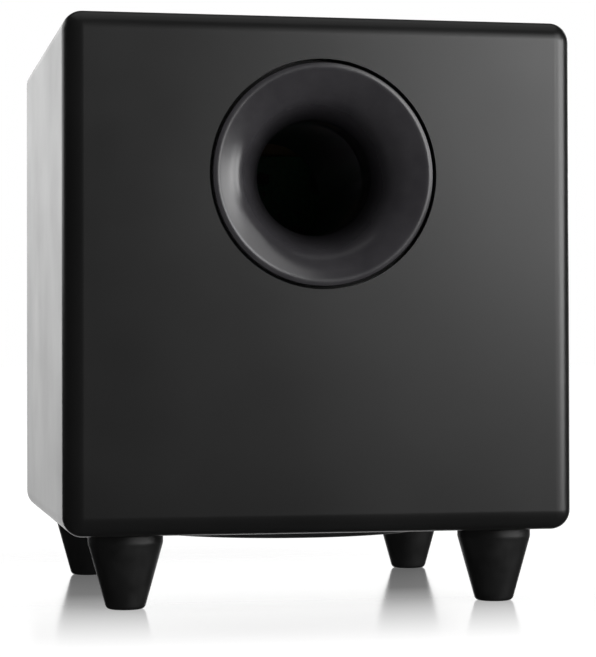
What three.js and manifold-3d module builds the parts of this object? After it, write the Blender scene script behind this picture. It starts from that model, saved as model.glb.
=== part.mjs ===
// A compact powered subwoofer: a cubic MDF cabinet on four tapered feet, with a flared bass port in
// its front, a down-firing 8-inch driver in its underside and a plate amplifier in its back.
// Millimetres. +Z is up, -Y is the front and z = 0 is the floor. The origin is under the middle of
// the whole object's box, rear knobs included.
import * as THREE from "three";
import { RoundedBoxGeometry } from "three/addons/geometries/RoundedBoxGeometry.js";
import { mergeVertices } from "three/addons/utils/BufferGeometryUtils.js";
import Module from "manifold-3d";

const wasm = await Module();
wasm.setup();

// ---------------------------------------------------------------- driving dimensions
const SIDE = 280; // outside width, depth and height of the cabinet
const PANEL = 16; // MDF thickness
const EDGE_R = 11; // rounding of every outside edge of the cabinet
const FOOT_H = 41; // clearance under the cabinet
const FOOT_X = 103.5; // foot axes, from the cabinet's middle
const FOOT_Y = 104.5;
const GAP = 0.3; // clearance between pieces that touch
const KNOB_PROUD = 14; // how far the rear knobs stand out of the back

const HALF = SIDE / 2;
const INNER = HALF - PANEL; // half the inside width
const BOTTOM = FOOT_H; // underside of the cabinet
const TOP = FOOT_H + SIDE;
const MIDDLE_Z = BOTTOM + HALF;

const PORT_Z = BOTTOM + 194; // height of the port's axis
const RECESS_R = 62.2; // step in the baffle that takes the port's flange
const RECESS_DEPTH = 7;
const FLANGE_R = 60.4;
const FLANGE_T = 5.4;
const RIM_R = 55.6; // where the flat rim ends and the flare starts
const FLARE_BACK_R = 51.2; // wide end of the plain cone on the flare's back
const THROAT_R = 32; // inside radius of the port tube
const TUBE_WALL = 2.5;
const FLARE_DEPTH = 45;
const SOCKET_START = 52; // depth at which the tube butts against the flare
const SOCKET_LENGTH = 16;
const TUBE_END = 176; // depth of the tube's inner end
const PORT_END = 196; // depth of the inner flare's lip
const BAFFLE_HOLE_R = 52.2;

const DRIVER_HOLE_R = 93; // cut-out in the bottom panel
const REBATE_R = 105; // rebate that sets the driver's flange flush
const REBATE_DEPTH = 5.4;
const DRIVER_PCD_R = 99.5; // circle of the driver's screws
const DRIVER_SCREWS = 6;
const CONE_TRAVEL = 8; // each way

const PLATE_W = 180; // amplifier plate
const PLATE_H = 220;
const PLATE_T = 3;
const PLATE_Z = 171; // height of the plate's middle
const PLATE_SEAL = 1.5;
const CUTOUT_W = 150; // opening behind the plate, inside the plate's screws
const CUTOUT_H = 190;
const PLATE_SCREW_X = 82;
const PLATE_SCREW_Z = 102;

const ROUND = 32; // sides of a large round piece that shows
const HIDDEN = 24; // sides of a large round piece inside the cabinet
const SMALL = 16; // sides of a knob or a jack
const TINY = 10; // sides of a screw

// ---------------------------------------------------------------- finishes
const finish = (color, roughness, metalness = 0) =>
  new THREE.MeshStandardMaterial({ color, roughness, metalness });
const LACQUER = finish(0x1c1c1d, 0.38);
const PORT_PLASTIC = finish(0x202124, 0.3);
const BLACK_FOAM = finish(0x0a0a0a, 0.95);
const FOOT_PLASTIC = finish(0x141415, 0.55);
const BLACK_STEEL = finish(0x161617, 0.45, 0.6);
const CONE_PULP = finish(0x1a1a1a, 0.8);
const RUBBER = finish(0x121212, 0.7);
const YELLOW_CLOTH = finish(0xb9a25a, 0.9);
const KAPTON = finish(0x9a5a22, 0.5);
const COPPER = finish(0xb87340, 0.35, 0.9);
const ZINC = finish(0xb4b6b8, 0.35, 0.9);
const FERRITE = finish(0x2b2b2d, 0.75);
const PLATE_PAINT = finish(0x18181a, 0.5, 0.3);
const ALUMINIUM = finish(0xb0b2b4, 0.4, 0.9);
const BOARD_GREEN = finish(0x1f5a36, 0.6);
const TAPE_YELLOW = finish(0xc9a227, 0.6);
const SWITCH_PLASTIC = finish(0x111112, 0.35);
const JACK_RED = finish(0xa51c1c, 0.4);
const JACK_WHITE = finish(0xe4e4e0, 0.4);
const LED_GREEN = finish(0x53d66a, 0.2);
const SCREW_BLACK = finish(0x1a1a1b, 0.4, 0.8);
const POLYESTER = finish(0xe8e6e0, 0.95);
const LEAD_RED = finish(0x8c1f1f, 0.6);

// ---------------------------------------------------------------- solids
// A closed geometry as a manifold-3d solid.
function solid(geometry) {
  const bare = geometry.clone();
  bare.deleteAttribute("normal");
  bare.deleteAttribute("uv");
  const merged = mergeVertices(bare, 1e-4);
  return new wasm.Manifold(
    new wasm.Mesh({
      numProp: 3,
      vertProperties: new Float32Array(merged.attributes.position.array),
      triVerts: new Uint32Array(merged.index.array),
    }),
  );
}

// A manifold-3d solid as a geometry.
function geometryOf(made) {
  const { vertProperties, triVerts } = made.getMesh();
  return new THREE.BufferGeometry()
    .setAttribute("position", new THREE.BufferAttribute(new Float32Array(vertProperties), 3))
    .setIndex(new THREE.BufferAttribute(new Uint32Array(triVerts), 1));
}

const at = (geometry, x, y, z) => geometry.clone().translate(x, y, z);
const cut = (body, ...tools) => geometryOf(tools.reduce((left, t) => left.subtract(solid(t)), solid(body)));
const join = (body, ...others) => geometryOf(others.reduce((whole, o) => whole.add(solid(o)), solid(body)));

// A solid of revolution about Y from [radius, along] points, listed so that its faces point out.
function turned(points, sides = ROUND) {
  const area = points.reduce((sum, [r, y], i) => {
    const [nextR, nextY] = points[(i + 1) % points.length];
    return sum + r * nextY - nextR * y;
  }, 0);
  const ordered = area > 0 ? points : [...points].reverse();
  const profile = [...ordered, ordered[0]].map(([r, y]) => new THREE.Vector2(r, y));
  return new THREE.LatheGeometry(profile, sides);
}

// Cylinders along Y and along Z, each centred on its own middle.
const rodY = (r, length, sides = SMALL) => new THREE.CylinderGeometry(r, r, length, sides);
const rodZ = (r, length, sides = SMALL) => rodY(r, length, sides).rotateX(Math.PI / 2);
const block = (x, y, z) => new THREE.BoxGeometry(x, y, z);

// A plate of rounded outline in XZ, from y = 0 to y = thickness.
function roundedPlate(width, height, thickness, corner) {
  const [w, h] = [width / 2, height / 2];
  const outline = new THREE.Shape();
  outline.moveTo(-w + corner, -h);
  outline.lineTo(w - corner, -h);
  outline.absarc(w - corner, -h + corner, corner, -Math.PI / 2, 0);
  outline.absarc(w - corner, h - corner, corner, 0, Math.PI / 2);
  outline.absarc(-w + corner, h - corner, corner, Math.PI / 2, Math.PI);
  outline.absarc(-w + corner, -h + corner, corner, Math.PI, Math.PI * 1.5);
  return new THREE.ExtrudeGeometry(outline, { depth: thickness, bevelEnabled: false, curveSegments: 4 })
    .rotateX(Math.PI / 2)
    .translate(0, thickness, 0);
}

// Points of an arc from angle a to angle b, in degrees, in a lathe's [radius, along] plane.
function arc(centreR, centreY, radius, a, b, steps) {
  return Array.from({ length: steps + 1 }, (_, i) => {
    const angle = THREE.MathUtils.degToRad(a + ((b - a) * i) / steps);
    return [centreR + radius * Math.cos(angle), centreY + radius * Math.sin(angle)];
  });
}

const around = (count, start = 0) =>
  Array.from({ length: count }, (_, i) => start + (i * 2 * Math.PI) / count);

function mesh(name, geometry, material, [x, y, z] = [0, 0, 0]) {
  const made = new THREE.Mesh(geometry, material);
  made.name = name;
  made.position.set(x, y, z);
  return made;
}

function group(parts, [x, y, z] = [0, 0, 0]) {
  const made = new THREE.Group();
  made.add(...parts);
  made.position.set(x, y, z);
  return made;
}

// ---------------------------------------------------------------- cabinet
// Where the plate's six screws go, from the plate's middle: corners, then the middle of each side.
const PLATE_SCREWS = [
  [-PLATE_SCREW_X, PLATE_SCREW_Z],
  [PLATE_SCREW_X, PLATE_SCREW_Z],
  [-PLATE_SCREW_X, -PLATE_SCREW_Z],
  [PLATE_SCREW_X, -PLATE_SCREW_Z],
  [-PLATE_SCREW_X, 0],
  [PLATE_SCREW_X, 0],
];
const PILOT_R = 1.7; // drilled hole for a wood screw
const SHANK_R = PILOT_R - GAP;

const FEET = [
  ["foot_front_left", -FOOT_X, -FOOT_Y],
  ["foot_front_right", FOOT_X, -FOOT_Y],
  ["foot_rear_left", -FOOT_X, FOOT_Y],
  ["foot_rear_right", FOOT_X, FOOT_Y],
];

// The six boards. Front and back cover the whole side; the other four stand between them.
function cabinet() {
  const shape = solid(at(new RoundedBoxGeometry(SIDE, SIDE, SIDE, 2, EDGE_R), 0, 0, MIDDLE_Z));
  const board = (x, y, z, w, d, h, ...tools) =>
    geometryOf(
      tools.reduce(
        (left, t) => left.subtract(solid(t)),
        solid(at(block(w, d, h), x, y, z)).intersect(shape),
      ),
    );
  const off = HALF - PANEL / 2;
  const span = SIDE - 2 * PANEL;
  const pilot = (x, y, low) => at(rodZ(PILOT_R, 16, 8), x, y, low);
  const pilots = [
    ...around(DRIVER_SCREWS).map((a) =>
      pilot(DRIVER_PCD_R * Math.cos(a), DRIVER_PCD_R * Math.sin(a), BOTTOM + REBATE_DEPTH),
    ),
    ...FEET.map(([, x, y]) => pilot(x, y, BOTTOM)),
  ];
  const plateHoles = PLATE_SCREWS.map(([x, z]) => at(rodY(PILOT_R, 24, 8), x, INNER + 12, PLATE_Z + z));
  const rebate = PLATE_T + PLATE_SEAL;
  return group([
    mesh(
      "front_baffle",
      board(0, -off, MIDDLE_Z, SIDE, PANEL, SIDE,
        at(rodY(RECESS_R, 2 * RECESS_DEPTH, ROUND), 0, -HALF, PORT_Z),
        at(rodY(BAFFLE_HOLE_R, 3 * PANEL, ROUND), 0, -HALF, PORT_Z)),
      LACQUER,
    ),
    mesh(
      "rear_panel",
      board(0, off, MIDDLE_Z, SIDE, PANEL, SIDE,
        at(roundedPlate(PLATE_W + 2 * GAP, PLATE_H + 2 * GAP, 20, 8), 0, HALF - rebate, PLATE_Z),
        at(block(CUTOUT_W, 3 * PANEL, CUTOUT_H), 0, HALF, PLATE_Z),
        ...plateHoles),
      LACQUER,
    ),
    mesh("left_panel", board(-off, 0, MIDDLE_Z, PANEL, span, SIDE), LACQUER),
    mesh("right_panel", board(off, 0, MIDDLE_Z, PANEL, span, SIDE), LACQUER),
    mesh("top_panel", board(0, 0, TOP - PANEL / 2, span, span, PANEL), LACQUER),
    mesh(
      "bottom_panel",
      board(0, 0, BOTTOM + PANEL / 2, span, span, PANEL,
        at(rodZ(REBATE_R, 2 * REBATE_DEPTH, ROUND), 0, 0, BOTTOM),
        at(rodZ(DRIVER_HOLE_R, 3 * PANEL, ROUND), 0, 0, BOTTOM),
        ...pilots),
      LACQUER,
    ),
    mesh("acoustic_wadding", wadding(), POLYESTER),
  ]);
}

// A polyester mat bent into a U against the two sides and the top, short of the baffle and amplifier.
function wadding() {
  const thick = 12;
  const reach = INNER - 1;
  const low = BOTTOM + 60;
  const high = TOP - PANEL - 1;
  const outline = new THREE.Shape();
  outline.moveTo(-reach, low);
  outline.lineTo(-reach + thick, low);
  outline.lineTo(-reach + thick, high - thick);
  outline.lineTo(reach - thick, high - thick);
  outline.lineTo(reach - thick, low);
  outline.lineTo(reach, low);
  outline.lineTo(reach, high);
  outline.lineTo(-reach, high);
  const depth = 170;
  return new THREE.ExtrudeGeometry(outline, { depth, bevelEnabled: false })
    .rotateX(Math.PI / 2)
    .translate(0, 65, 0);
}

// ---------------------------------------------------------------- bass port
// Inner wall of a flare: radius falls from wide to THROAT_R as depth goes from start to end.
function flareCurve(wide, start, end, steps, lead = 24) {
  const first = THREE.MathUtils.degToRad(lead);
  return Array.from({ length: steps + 1 }, (_, i) => {
    const t = first + ((Math.PI / 2 - first) * i) / steps;
    const r = THROAT_R + ((wide - THROAT_R) * (1 - Math.sin(t))) / (1 - Math.sin(first));
    const y = start + ((end - start) * (Math.cos(first) - Math.cos(t))) / Math.cos(first);
    return [r, y];
  });
}

// Depth runs along +Y from the cabinet's front face.
function port() {
  const wall = 3.2;
  const neckR = THROAT_R + TUBE_WALL + GAP + wall;
  const socketR = THROAT_R + TUBE_WALL + GAP;
  const edge = 1.4;
  const flare = turned([
    [FLANGE_R, FLANGE_T],
    [FLANGE_R, edge],
    [FLANGE_R - edge * 0.3, edge * 0.3],
    [FLANGE_R - edge, 0],
    ...flareCurve(RIM_R, 0.5, FLARE_DEPTH, 6),
    [THROAT_R, SOCKET_START],
    [socketR, SOCKET_START],
    [socketR, SOCKET_START + SOCKET_LENGTH],
    [neckR, SOCKET_START + SOCKET_LENGTH],
    [FLARE_BACK_R, FLANGE_T],
  ]);
  const seal = turned([
    [BAFFLE_HOLE_R + 1, FLANGE_T + 0.1],
    [RECESS_R - 0.4, FLANGE_T + 0.1],
    [RECESS_R - 0.4, RECESS_DEPTH - 0.1],
    [BAFFLE_HOLE_R + 1, RECESS_DEPTH - 0.1],
  ]);
  const tube = turned([
    [THROAT_R, SOCKET_START + GAP],
    [THROAT_R + TUBE_WALL, SOCKET_START + GAP],
    [THROAT_R + TUBE_WALL, TUBE_END],
    [THROAT_R, TUBE_END],
  ], HIDDEN);
  const bell = flareCurve(48, PORT_END - 1, TUBE_END + GAP, 4, 10);
  const socketEnd = TUBE_END - SOCKET_LENGTH;
  const innerFlare = turned([
    ...bell,
    [socketR, TUBE_END + GAP],
    [socketR, socketEnd],
    [neckR, socketEnd],
    ...bell.slice(1, -1).map(([r, y]) => [Math.max(r + wall, neckR), y - 2.4]).reverse(),
    [50.5, PORT_END - 3.5],
    [50.5, PORT_END - 1],
    [49.3, PORT_END],
  ], HIDDEN);
  return group(
    [
      mesh("port_flare", flare, PORT_PLASTIC),
      mesh("port_gasket", seal, BLACK_FOAM),
      mesh("port_tube", tube, PORT_PLASTIC),
      mesh("port_inner_flare", innerFlare, PORT_PLASTIC),
    ],
    [0, -HALF, PORT_Z],
  );
}

// ---------------------------------------------------------------- feet
const FOOT_COLLAR_R = 20.4;
const FOOT_TOE_R = 10.4; // where the cone would meet the floor
const FOOT_COLLAR_H = 5.3;
const FOOT_BORE_R = 2;
const FOOT_SINK_R = 3.9; // sunk hole that hides the screw head
const FOOT_SINK_H = 22;

// A tapered foot with a short collar, a rounded toe and a stepped screw hole.
function feet() {
  const toe = 3;
  const top = FOOT_H - GAP;
  const profile = [
    [FOOT_SINK_R, 0],
    [FOOT_TOE_R - toe * 0.75, 0],
    [FOOT_TOE_R - toe * 0.1, toe * 0.3],
    [FOOT_TOE_R + toe * 0.28, toe],
    [FOOT_COLLAR_R - 0.2, top - FOOT_COLLAR_H],
    [FOOT_COLLAR_R, top - FOOT_COLLAR_H + 1.5],
    [FOOT_COLLAR_R, top],
    [FOOT_BORE_R, top],
    [FOOT_BORE_R, FOOT_SINK_H],
    [FOOT_SINK_R, FOOT_SINK_H],
  ];
  const shape = turned(profile, 20).rotateX(Math.PI / 2);
  return group(FEET.map(([name, x, y]) => mesh(name, shape.clone(), FOOT_PLASTIC, [x, y, 0])));
}

// ---------------------------------------------------------------- driver
// Heights run up from the cabinet's underside, so the cone opens downwards at 0.
const FLANGE_LOW = 1.4;
const FLANGE_HIGH = 4.4;
const ROLL_MID_R = 84;
const ROLL_R = 7;
const ROLL_WALL = 1.2;
const CONE_EDGE_R = 78;
const COIL_R = 19; // inside radius of the voice coil former
const FORMER_WALL = 0.9;
const LEDGE_Z = 45; // ledge that the spider is glued under
const SPIDER_Z = LEDGE_Z - 1.2;
const WALL_R = 53; // inside of the basket's neck
const SEAT_Z = 56; // underside of the basket's magnet seat
const TOP_PLATE_Z = 59.3;
const MAGNET_Z = TOP_PLATE_Z + 7 + GAP;
const YOKE_Z = MAGNET_Z + 20 + GAP;

// A solid of revolution about Z, from [radius, height] points.
const turnedZ = (points, sides) => turned(points, sides).rotateX(Math.PI / 2);

// Flat ring that the driver is screwed down by.
function flange() {
  const ring = turnedZ([
    [88, FLANGE_LOW],
    [104.4, FLANGE_LOW],
    [104.4, FLANGE_HIGH],
    [88, FLANGE_HIGH],
  ]);
  const holes = around(DRIVER_SCREWS).map((a) =>
    at(rodZ(PILOT_R, 12, 8), DRIVER_PCD_R * Math.cos(a), DRIVER_PCD_R * Math.sin(a), 3),
  );
  return cut(ring, ...holes);
}

// Windowed cone that rises from the flange to the spider's ledge and the magnet's seat.
function basket() {
  const shell = turnedZ([
    [88, FLANGE_HIGH + GAP],
    [92, FLANGE_HIGH + GAP],
    [91.5, 18],
    [63, LEDGE_Z + 2.5],
    [WALL_R + 3, LEDGE_Z + 2.5],
    [WALL_R + 3, SEAT_Z + 3],
    [24, SEAT_Z + 3],
    [24, SEAT_Z],
    [WALL_R, SEAT_Z],
    [WALL_R, LEDGE_Z],
    [61, LEDGE_Z],
    [88.5, 16.5],
  ]);
  const windows = around(6, Math.PI / 6).map((a) =>
    block(60, 34, 18).translate(85, 0, 30).rotateZ(a),
  );
  const vents = around(6).map((a) => block(20, 18, 6).translate(WALL_R, 0, LEDGE_Z + 6.5).rotateZ(a));
  return cut(shell, ...windows, ...vents);
}

// A half-round rubber roll between two flat lips.
function surround() {
  const rollZ = FLANGE_LOW - 0.4;
  const outside = arc(ROLL_MID_R, rollZ, ROLL_R, 180, 360, 7);
  const inside = arc(ROLL_MID_R, rollZ, ROLL_R - ROLL_WALL, 360, 180, 7);
  return turnedZ([
    [73.5, rollZ],
    ...outside.slice(0, -1),
    [ROLL_MID_R + ROLL_R, rollZ - 0.8],
    [95, rollZ - 0.8],
    [95, rollZ + 0.1],
    ...inside,
    [ROLL_MID_R - ROLL_R + ROLL_WALL, rollZ + 1],
    [73.5, rollZ + 1],
  ]);
}

function cone() {
  const neck = COIL_R + FORMER_WALL + 0.3;
  const steps = 3;
  const neckZ = 38;
  const edgeZ = FLANGE_LOW + 0.9;
  const line = Array.from({ length: steps + 1 }, (_, i) => {
    const t = i / steps;
    return [CONE_EDGE_R - 1.5 - (CONE_EDGE_R - 1.5 - neck) * t, edgeZ + (neckZ - edgeZ) * t ** 0.88];
  });
  return turnedZ([
    [CONE_EDGE_R, edgeZ],
    ...line,
    [neck, neckZ + 2.6],
    ...line.slice(1, -1).map(([r, z]) => [r + 1.1, z + 1.5]).reverse(),
    [CONE_EDGE_R - 1.5, edgeZ + 1.6],
    [CONE_EDGE_R, edgeZ + 1.6],
  ], ROUND);
}

// The shallow dome over the coil; it bulges towards the floor.
function dustCap() {
  const reach = 31;
  const rim = 29.6;
  const rise = 8;
  const steps = 4;
  const dome = (lift) =>
    Array.from({ length: steps + 1 }, (_, i) => {
      const t = i / steps;
      return [reach * t, rim - rise * (1 - t * t) + lift];
    });
  return turnedZ([...dome(0), ...dome(1.2).reverse()], HIDDEN);
}

// Concentric corrugations between the former and the basket's ledge.
function spider() {
  const from = COIL_R + FORMER_WALL + 0.3;
  const to = WALL_R - 1;
  const waves = 7;
  const line = Array.from({ length: waves + 1 }, (_, i) => {
    const flat = i === 0 || i === waves;
    return [from + ((to - from) * i) / waves, SPIDER_Z + (flat ? 0 : i % 2 ? 1.5 : -1.5)];
  });
  line.push([60, SPIDER_Z]);
  return turnedZ([...line, ...line.map(([r, z]) => [r, z + 0.9]).reverse()], HIDDEN);
}

const sleeve = (inner, outer, low, high, sides = HIDDEN) =>
  turnedZ([[inner, low], [outer, low], [outer, high], [inner, high]], sides);

// The post sits inside the coil, on the back plate, with a vent through it.
function yoke() {
  const ventR = 6;
  const postR = COIL_R - 0.9;
  return turnedZ([
    [ventR, TOP_PLATE_Z],
    [postR, TOP_PLATE_Z],
    [postR, YOKE_Z],
    [54, YOKE_Z],
    [54, YOKE_Z + 6],
    [52.5, YOKE_Z + 7.5],
    [ventR, YOKE_Z + 7.5],
  ], HIDDEN);
}

// A small board on the basket's wall that carries two push-on tabs.
function terminals() {
  const strip = block(26, 2, 9);
  const tabs = [-7, 7].map((x) => at(block(4.8, 9, 0.8), x, 5, 1));
  return join(strip, ...tabs);
}

// A pan-head screw with a round key recess; its head is at +Y and its point at -Y.
function panScrew(headR, headH, shank) {
  return turned([
    [0, -shank],
    [SHANK_R, 2 - shank],
    [SHANK_R, 0],
    [headR, 0],
    [headR * 0.7, headH],
    [headR * 0.4, headH],
    [0, headH * 0.4],
  ], TINY);
}

function driver() {
  const screw = panScrew(4, 2.4, 10).rotateX(-Math.PI / 2);
  return group(
    [
      mesh("driver_flange", flange(), BLACK_STEEL),
      mesh("driver_basket", basket(), BLACK_STEEL),
      mesh("driver_gasket", sleeve(DRIVER_HOLE_R + 1, 97, FLANGE_HIGH + 0.1, REBATE_DEPTH - 0.1), BLACK_FOAM),
      mesh("driver_surround", surround(), RUBBER),
      mesh("driver_cone", cone(), CONE_PULP),
      mesh("driver_dust_cap", dustCap(), CONE_PULP),
      mesh("driver_spider", spider(), YELLOW_CLOTH),
      mesh("voice_coil_former", sleeve(COIL_R, COIL_R + FORMER_WALL, 37, 76), KAPTON),
      mesh("voice_coil_winding", sleeve(COIL_R + FORMER_WALL + 0.1, COIL_R + 2, 53, 72), COPPER),
      mesh("driver_top_plate", sleeve(COIL_R + 3, 51, TOP_PLATE_Z, TOP_PLATE_Z + 7), ZINC),
      mesh("driver_magnet", sleeve(COIL_R + 8, 58, MAGNET_Z, MAGNET_Z + 20), FERRITE),
      mesh("driver_yoke", yoke(), ZINC),
      mesh("driver_terminals", terminals(), BOARD_GREEN, [0, WALL_R + 4.4, LEDGE_Z + 8]),
      ...around(DRIVER_SCREWS).map((a, i) =>
        mesh(`driver_screw_${i + 1}`, screw.clone(), SCREW_BLACK, [
          DRIVER_PCD_R * Math.cos(a),
          DRIVER_PCD_R * Math.sin(a),
          FLANGE_LOW - 0.1,
        ]),
      ),
    ],
    [0, 0, BOTTOM],
  );
}

// ---------------------------------------------------------------- plate amplifier
// Positions are from the plate's middle; y = 0 is the plate's outer face and +Y is out of the back.
// Seen from behind, +X is on the left.
const BACK = -PLATE_T; // the plate's inner face
const KNOB_Z = 80;
const VOLUME_X = 54;
const CROSSOVER_X = 12;
const PHASE_X = -36;
const LED_X = -66;
const JACK_Z = 34;
const JACK_LEFT_X = 54;
const JACK_RIGHT_X = 32;
const MAINS_Z = -76;
const INLET_X = -38;
const ROCKER_X = 12;
const BOARD_Y = -30;
const BUSH_R = 4.6;
const SHAFT_R = 3;

// Potentiometer: a square can with a bush that comes through the plate and is bored for the shaft.
function pot() {
  const can = at(block(17, 9, 17), 0, BACK - GAP - 4.5, 0);
  const bush = at(rodY(BUSH_R, 12), 0, BACK - 2, 0);
  return cut(geometryOf(solid(can).add(solid(bush))), at(rodY(SHAFT_R + GAP, 30), 0, 7.6, 0));
}

// A knob and the shaft that it is pressed on, turned as one piece, with a pointer groove.
function knob() {
  const r = 8.6;
  const foot = 5;
  const face = KNOB_PROUD;
  const body = turned([
    [0, BACK - 4],
    [SHAFT_R, BACK - 4],
    [SHAFT_R, foot - 0.6],
    [r, foot - 0.6],
    [r + 0.4, foot + 1],
    [r - 0.6, face - 1],
    [r - 1.6, face],
    [0, face],
  ], SMALL);
  return cut(body, at(block(1.2, 1.6, r), 0, face, r / 2 + 1.5));
}

// Rocker switch: a framed box, open at the back, that the rocker tips in.
const ROCKER_W = 11;
const ROCKER_H = 16.4;
const ROCKER_TILT = 9; // degrees either side of level
function switchHousing() {
  const frame = at(block(17, 2, 24), 0, 1.1, 0);
  const body = at(block(14, 16, 20.4), 0, -7.6, 0);
  const well = at(block(ROCKER_W + 1.2, 13, ROCKER_H + 1.4), 0, -3.4, 0);
  return cut(geometryOf(solid(frame).add(solid(body))), well);
}

// The rocker, seen from the side, is a shallow V over a rounded belly; its pivot is at the origin.
function rocker() {
  const h = ROCKER_H / 2;
  const outline = new THREE.Shape();
  outline.moveTo(-h, 3.6);
  outline.lineTo(0, 2.2);
  outline.lineTo(h, 3.6);
  outline.lineTo(h, 1.2);
  outline.quadraticCurveTo(h * 0.55, -5, 0, -5);
  outline.quadraticCurveTo(-h * 0.55, -5, -h, 1.2);
  return new THREE.ExtrudeGeometry(outline, { depth: ROCKER_W, bevelEnabled: false, curveSegments: 5 })
    .translate(0, 0, -ROCKER_W / 2)
    .rotateY(-Math.PI / 2);
}

// Three-pin mains inlet: a flanged shroud with its pins standing in a well.
function mainsInlet() {
  const flange = at(block(31, 2.4, 24.6), 0, 1.3, 0);
  const body = at(block(27, 22, 19.6), 0, -10.6, 0);
  const well = at(roundedPlate(24.4, 16.6, 19, 2.5), 0, -16, 0);
  const pins = [[0, -2.6], [-7, 2], [7, 2]].map(([x, z]) => at(block(2, 12.6, 4), x, -10.2, z));
  return join(cut(geometryOf(solid(flange).add(solid(body))), well), ...pins);
}

// Slide switch: the housing hangs behind the plate, and the slider shows in the slot.
const SLIDE_TRAVEL = 4;
function phaseHousing() {
  const body = at(block(16, 7, 9), 0, BACK - GAP - 3.5, 0);
  const slot = at(block(4.2 + SLIDE_TRAVEL + 0.8, 6, 4.8), 0, BACK - GAP - 0.6, 0);
  return cut(body, slot);
}

// Phono jack: a block on the board, an insulating collar and a bored barrel outside the plate.
function phonoJack() {
  const rear = at(block(13, 14, 14), 0, BACK - GAP - 7, 0);
  const collar = at(rodY(5.4, 3.4 + PLATE_T, TINY), 0, -PLATE_T / 2, 0);
  const barrel = at(rodY(4.15, 14, TINY), 0, 4, 0);
  const bore = at(rodY(2.6, 20, TINY), 0, 8, 0);
  const flange = at(rodY(7, 1.4, TINY), 0, 0.8, 0);
  return cut(geometryOf([collar, barrel, flange].reduce((w, o) => w.add(solid(o)), solid(rear))), bore);
}

// Circuit board with its smoothing capacitors, chokes and output filter soldered on.
function board() {
  const sheet = at(block(144, 1.6, 74), 0, BOARD_Y, 0);
  const can = (x, z, r, h) => at(rodY(r, h, TINY), x, BOARD_Y - h / 2 + 0.4, z);
  const chip = (x, z, w, h) => at(block(w, 6, h), x, BOARD_Y - 3.4, z);
  return join(sheet, can(-52, 20, 9, 24), can(-52, -14, 9, 24), can(-26, 22, 6, 18), can(50, -16, 8, 14),
    can(28, -16, 8, 14), chip(-6, -8, 22, 18), chip(48, 20, 18, 12));
}

// An aluminium bracket: it holds the board off the plate and carries the output chip's heat to it.
function heatSink() {
  const base = at(block(44, 3, 30), 0, BACK - GAP - 1.5, 0);
  const web = at(block(44, 25.6, 3), 0, BACK - GAP - 12.8, -13.5);
  const fins = [-18, -9, 0, 9, 18].map((x) => at(block(2, 12, 16), x, BACK - GAP - 7, -5));
  return join(base, web, ...fins);
}

function transformer() {
  const [inner, outer, high, low, r] = [9, 36, BACK - GAP - 3, BACK - GAP - 33, 8];
  return turned([
    ...arc(outer - r, high - r, r, 0, 90, 3),
    ...arc(inner + r, high - r, r, 90, 180, 3),
    ...arc(inner + r, low + r, r, 180, 270, 3),
    ...arc(outer - r, low + r, r, 270, 360, 3),
  ], HIDDEN);
}

// A domed washer and a bolt that clamp the transformer to the plate.
function transformerBolt() {
  const low = BACK - GAP - 33;
  return turned([
    [0, low - 6],
    [4.5, low - 6],
    [4.5, low - 2.6],
    [22, low - 1.6],
    [22, low - 0.3],
    [3, low - 0.3],
    [3, BACK - GAP],
    [0, BACK - GAP],
  ], SMALL);
}

function statusLight() {
  return turned([
    [0, BACK - 6],
    [3, BACK - 6],
    [3, BACK - GAP],
    [2.3, BACK - GAP],
    [2.3, 0.2],
    [1.6, 1.3],
    [0, 1.8],
  ], TINY);
}

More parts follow.
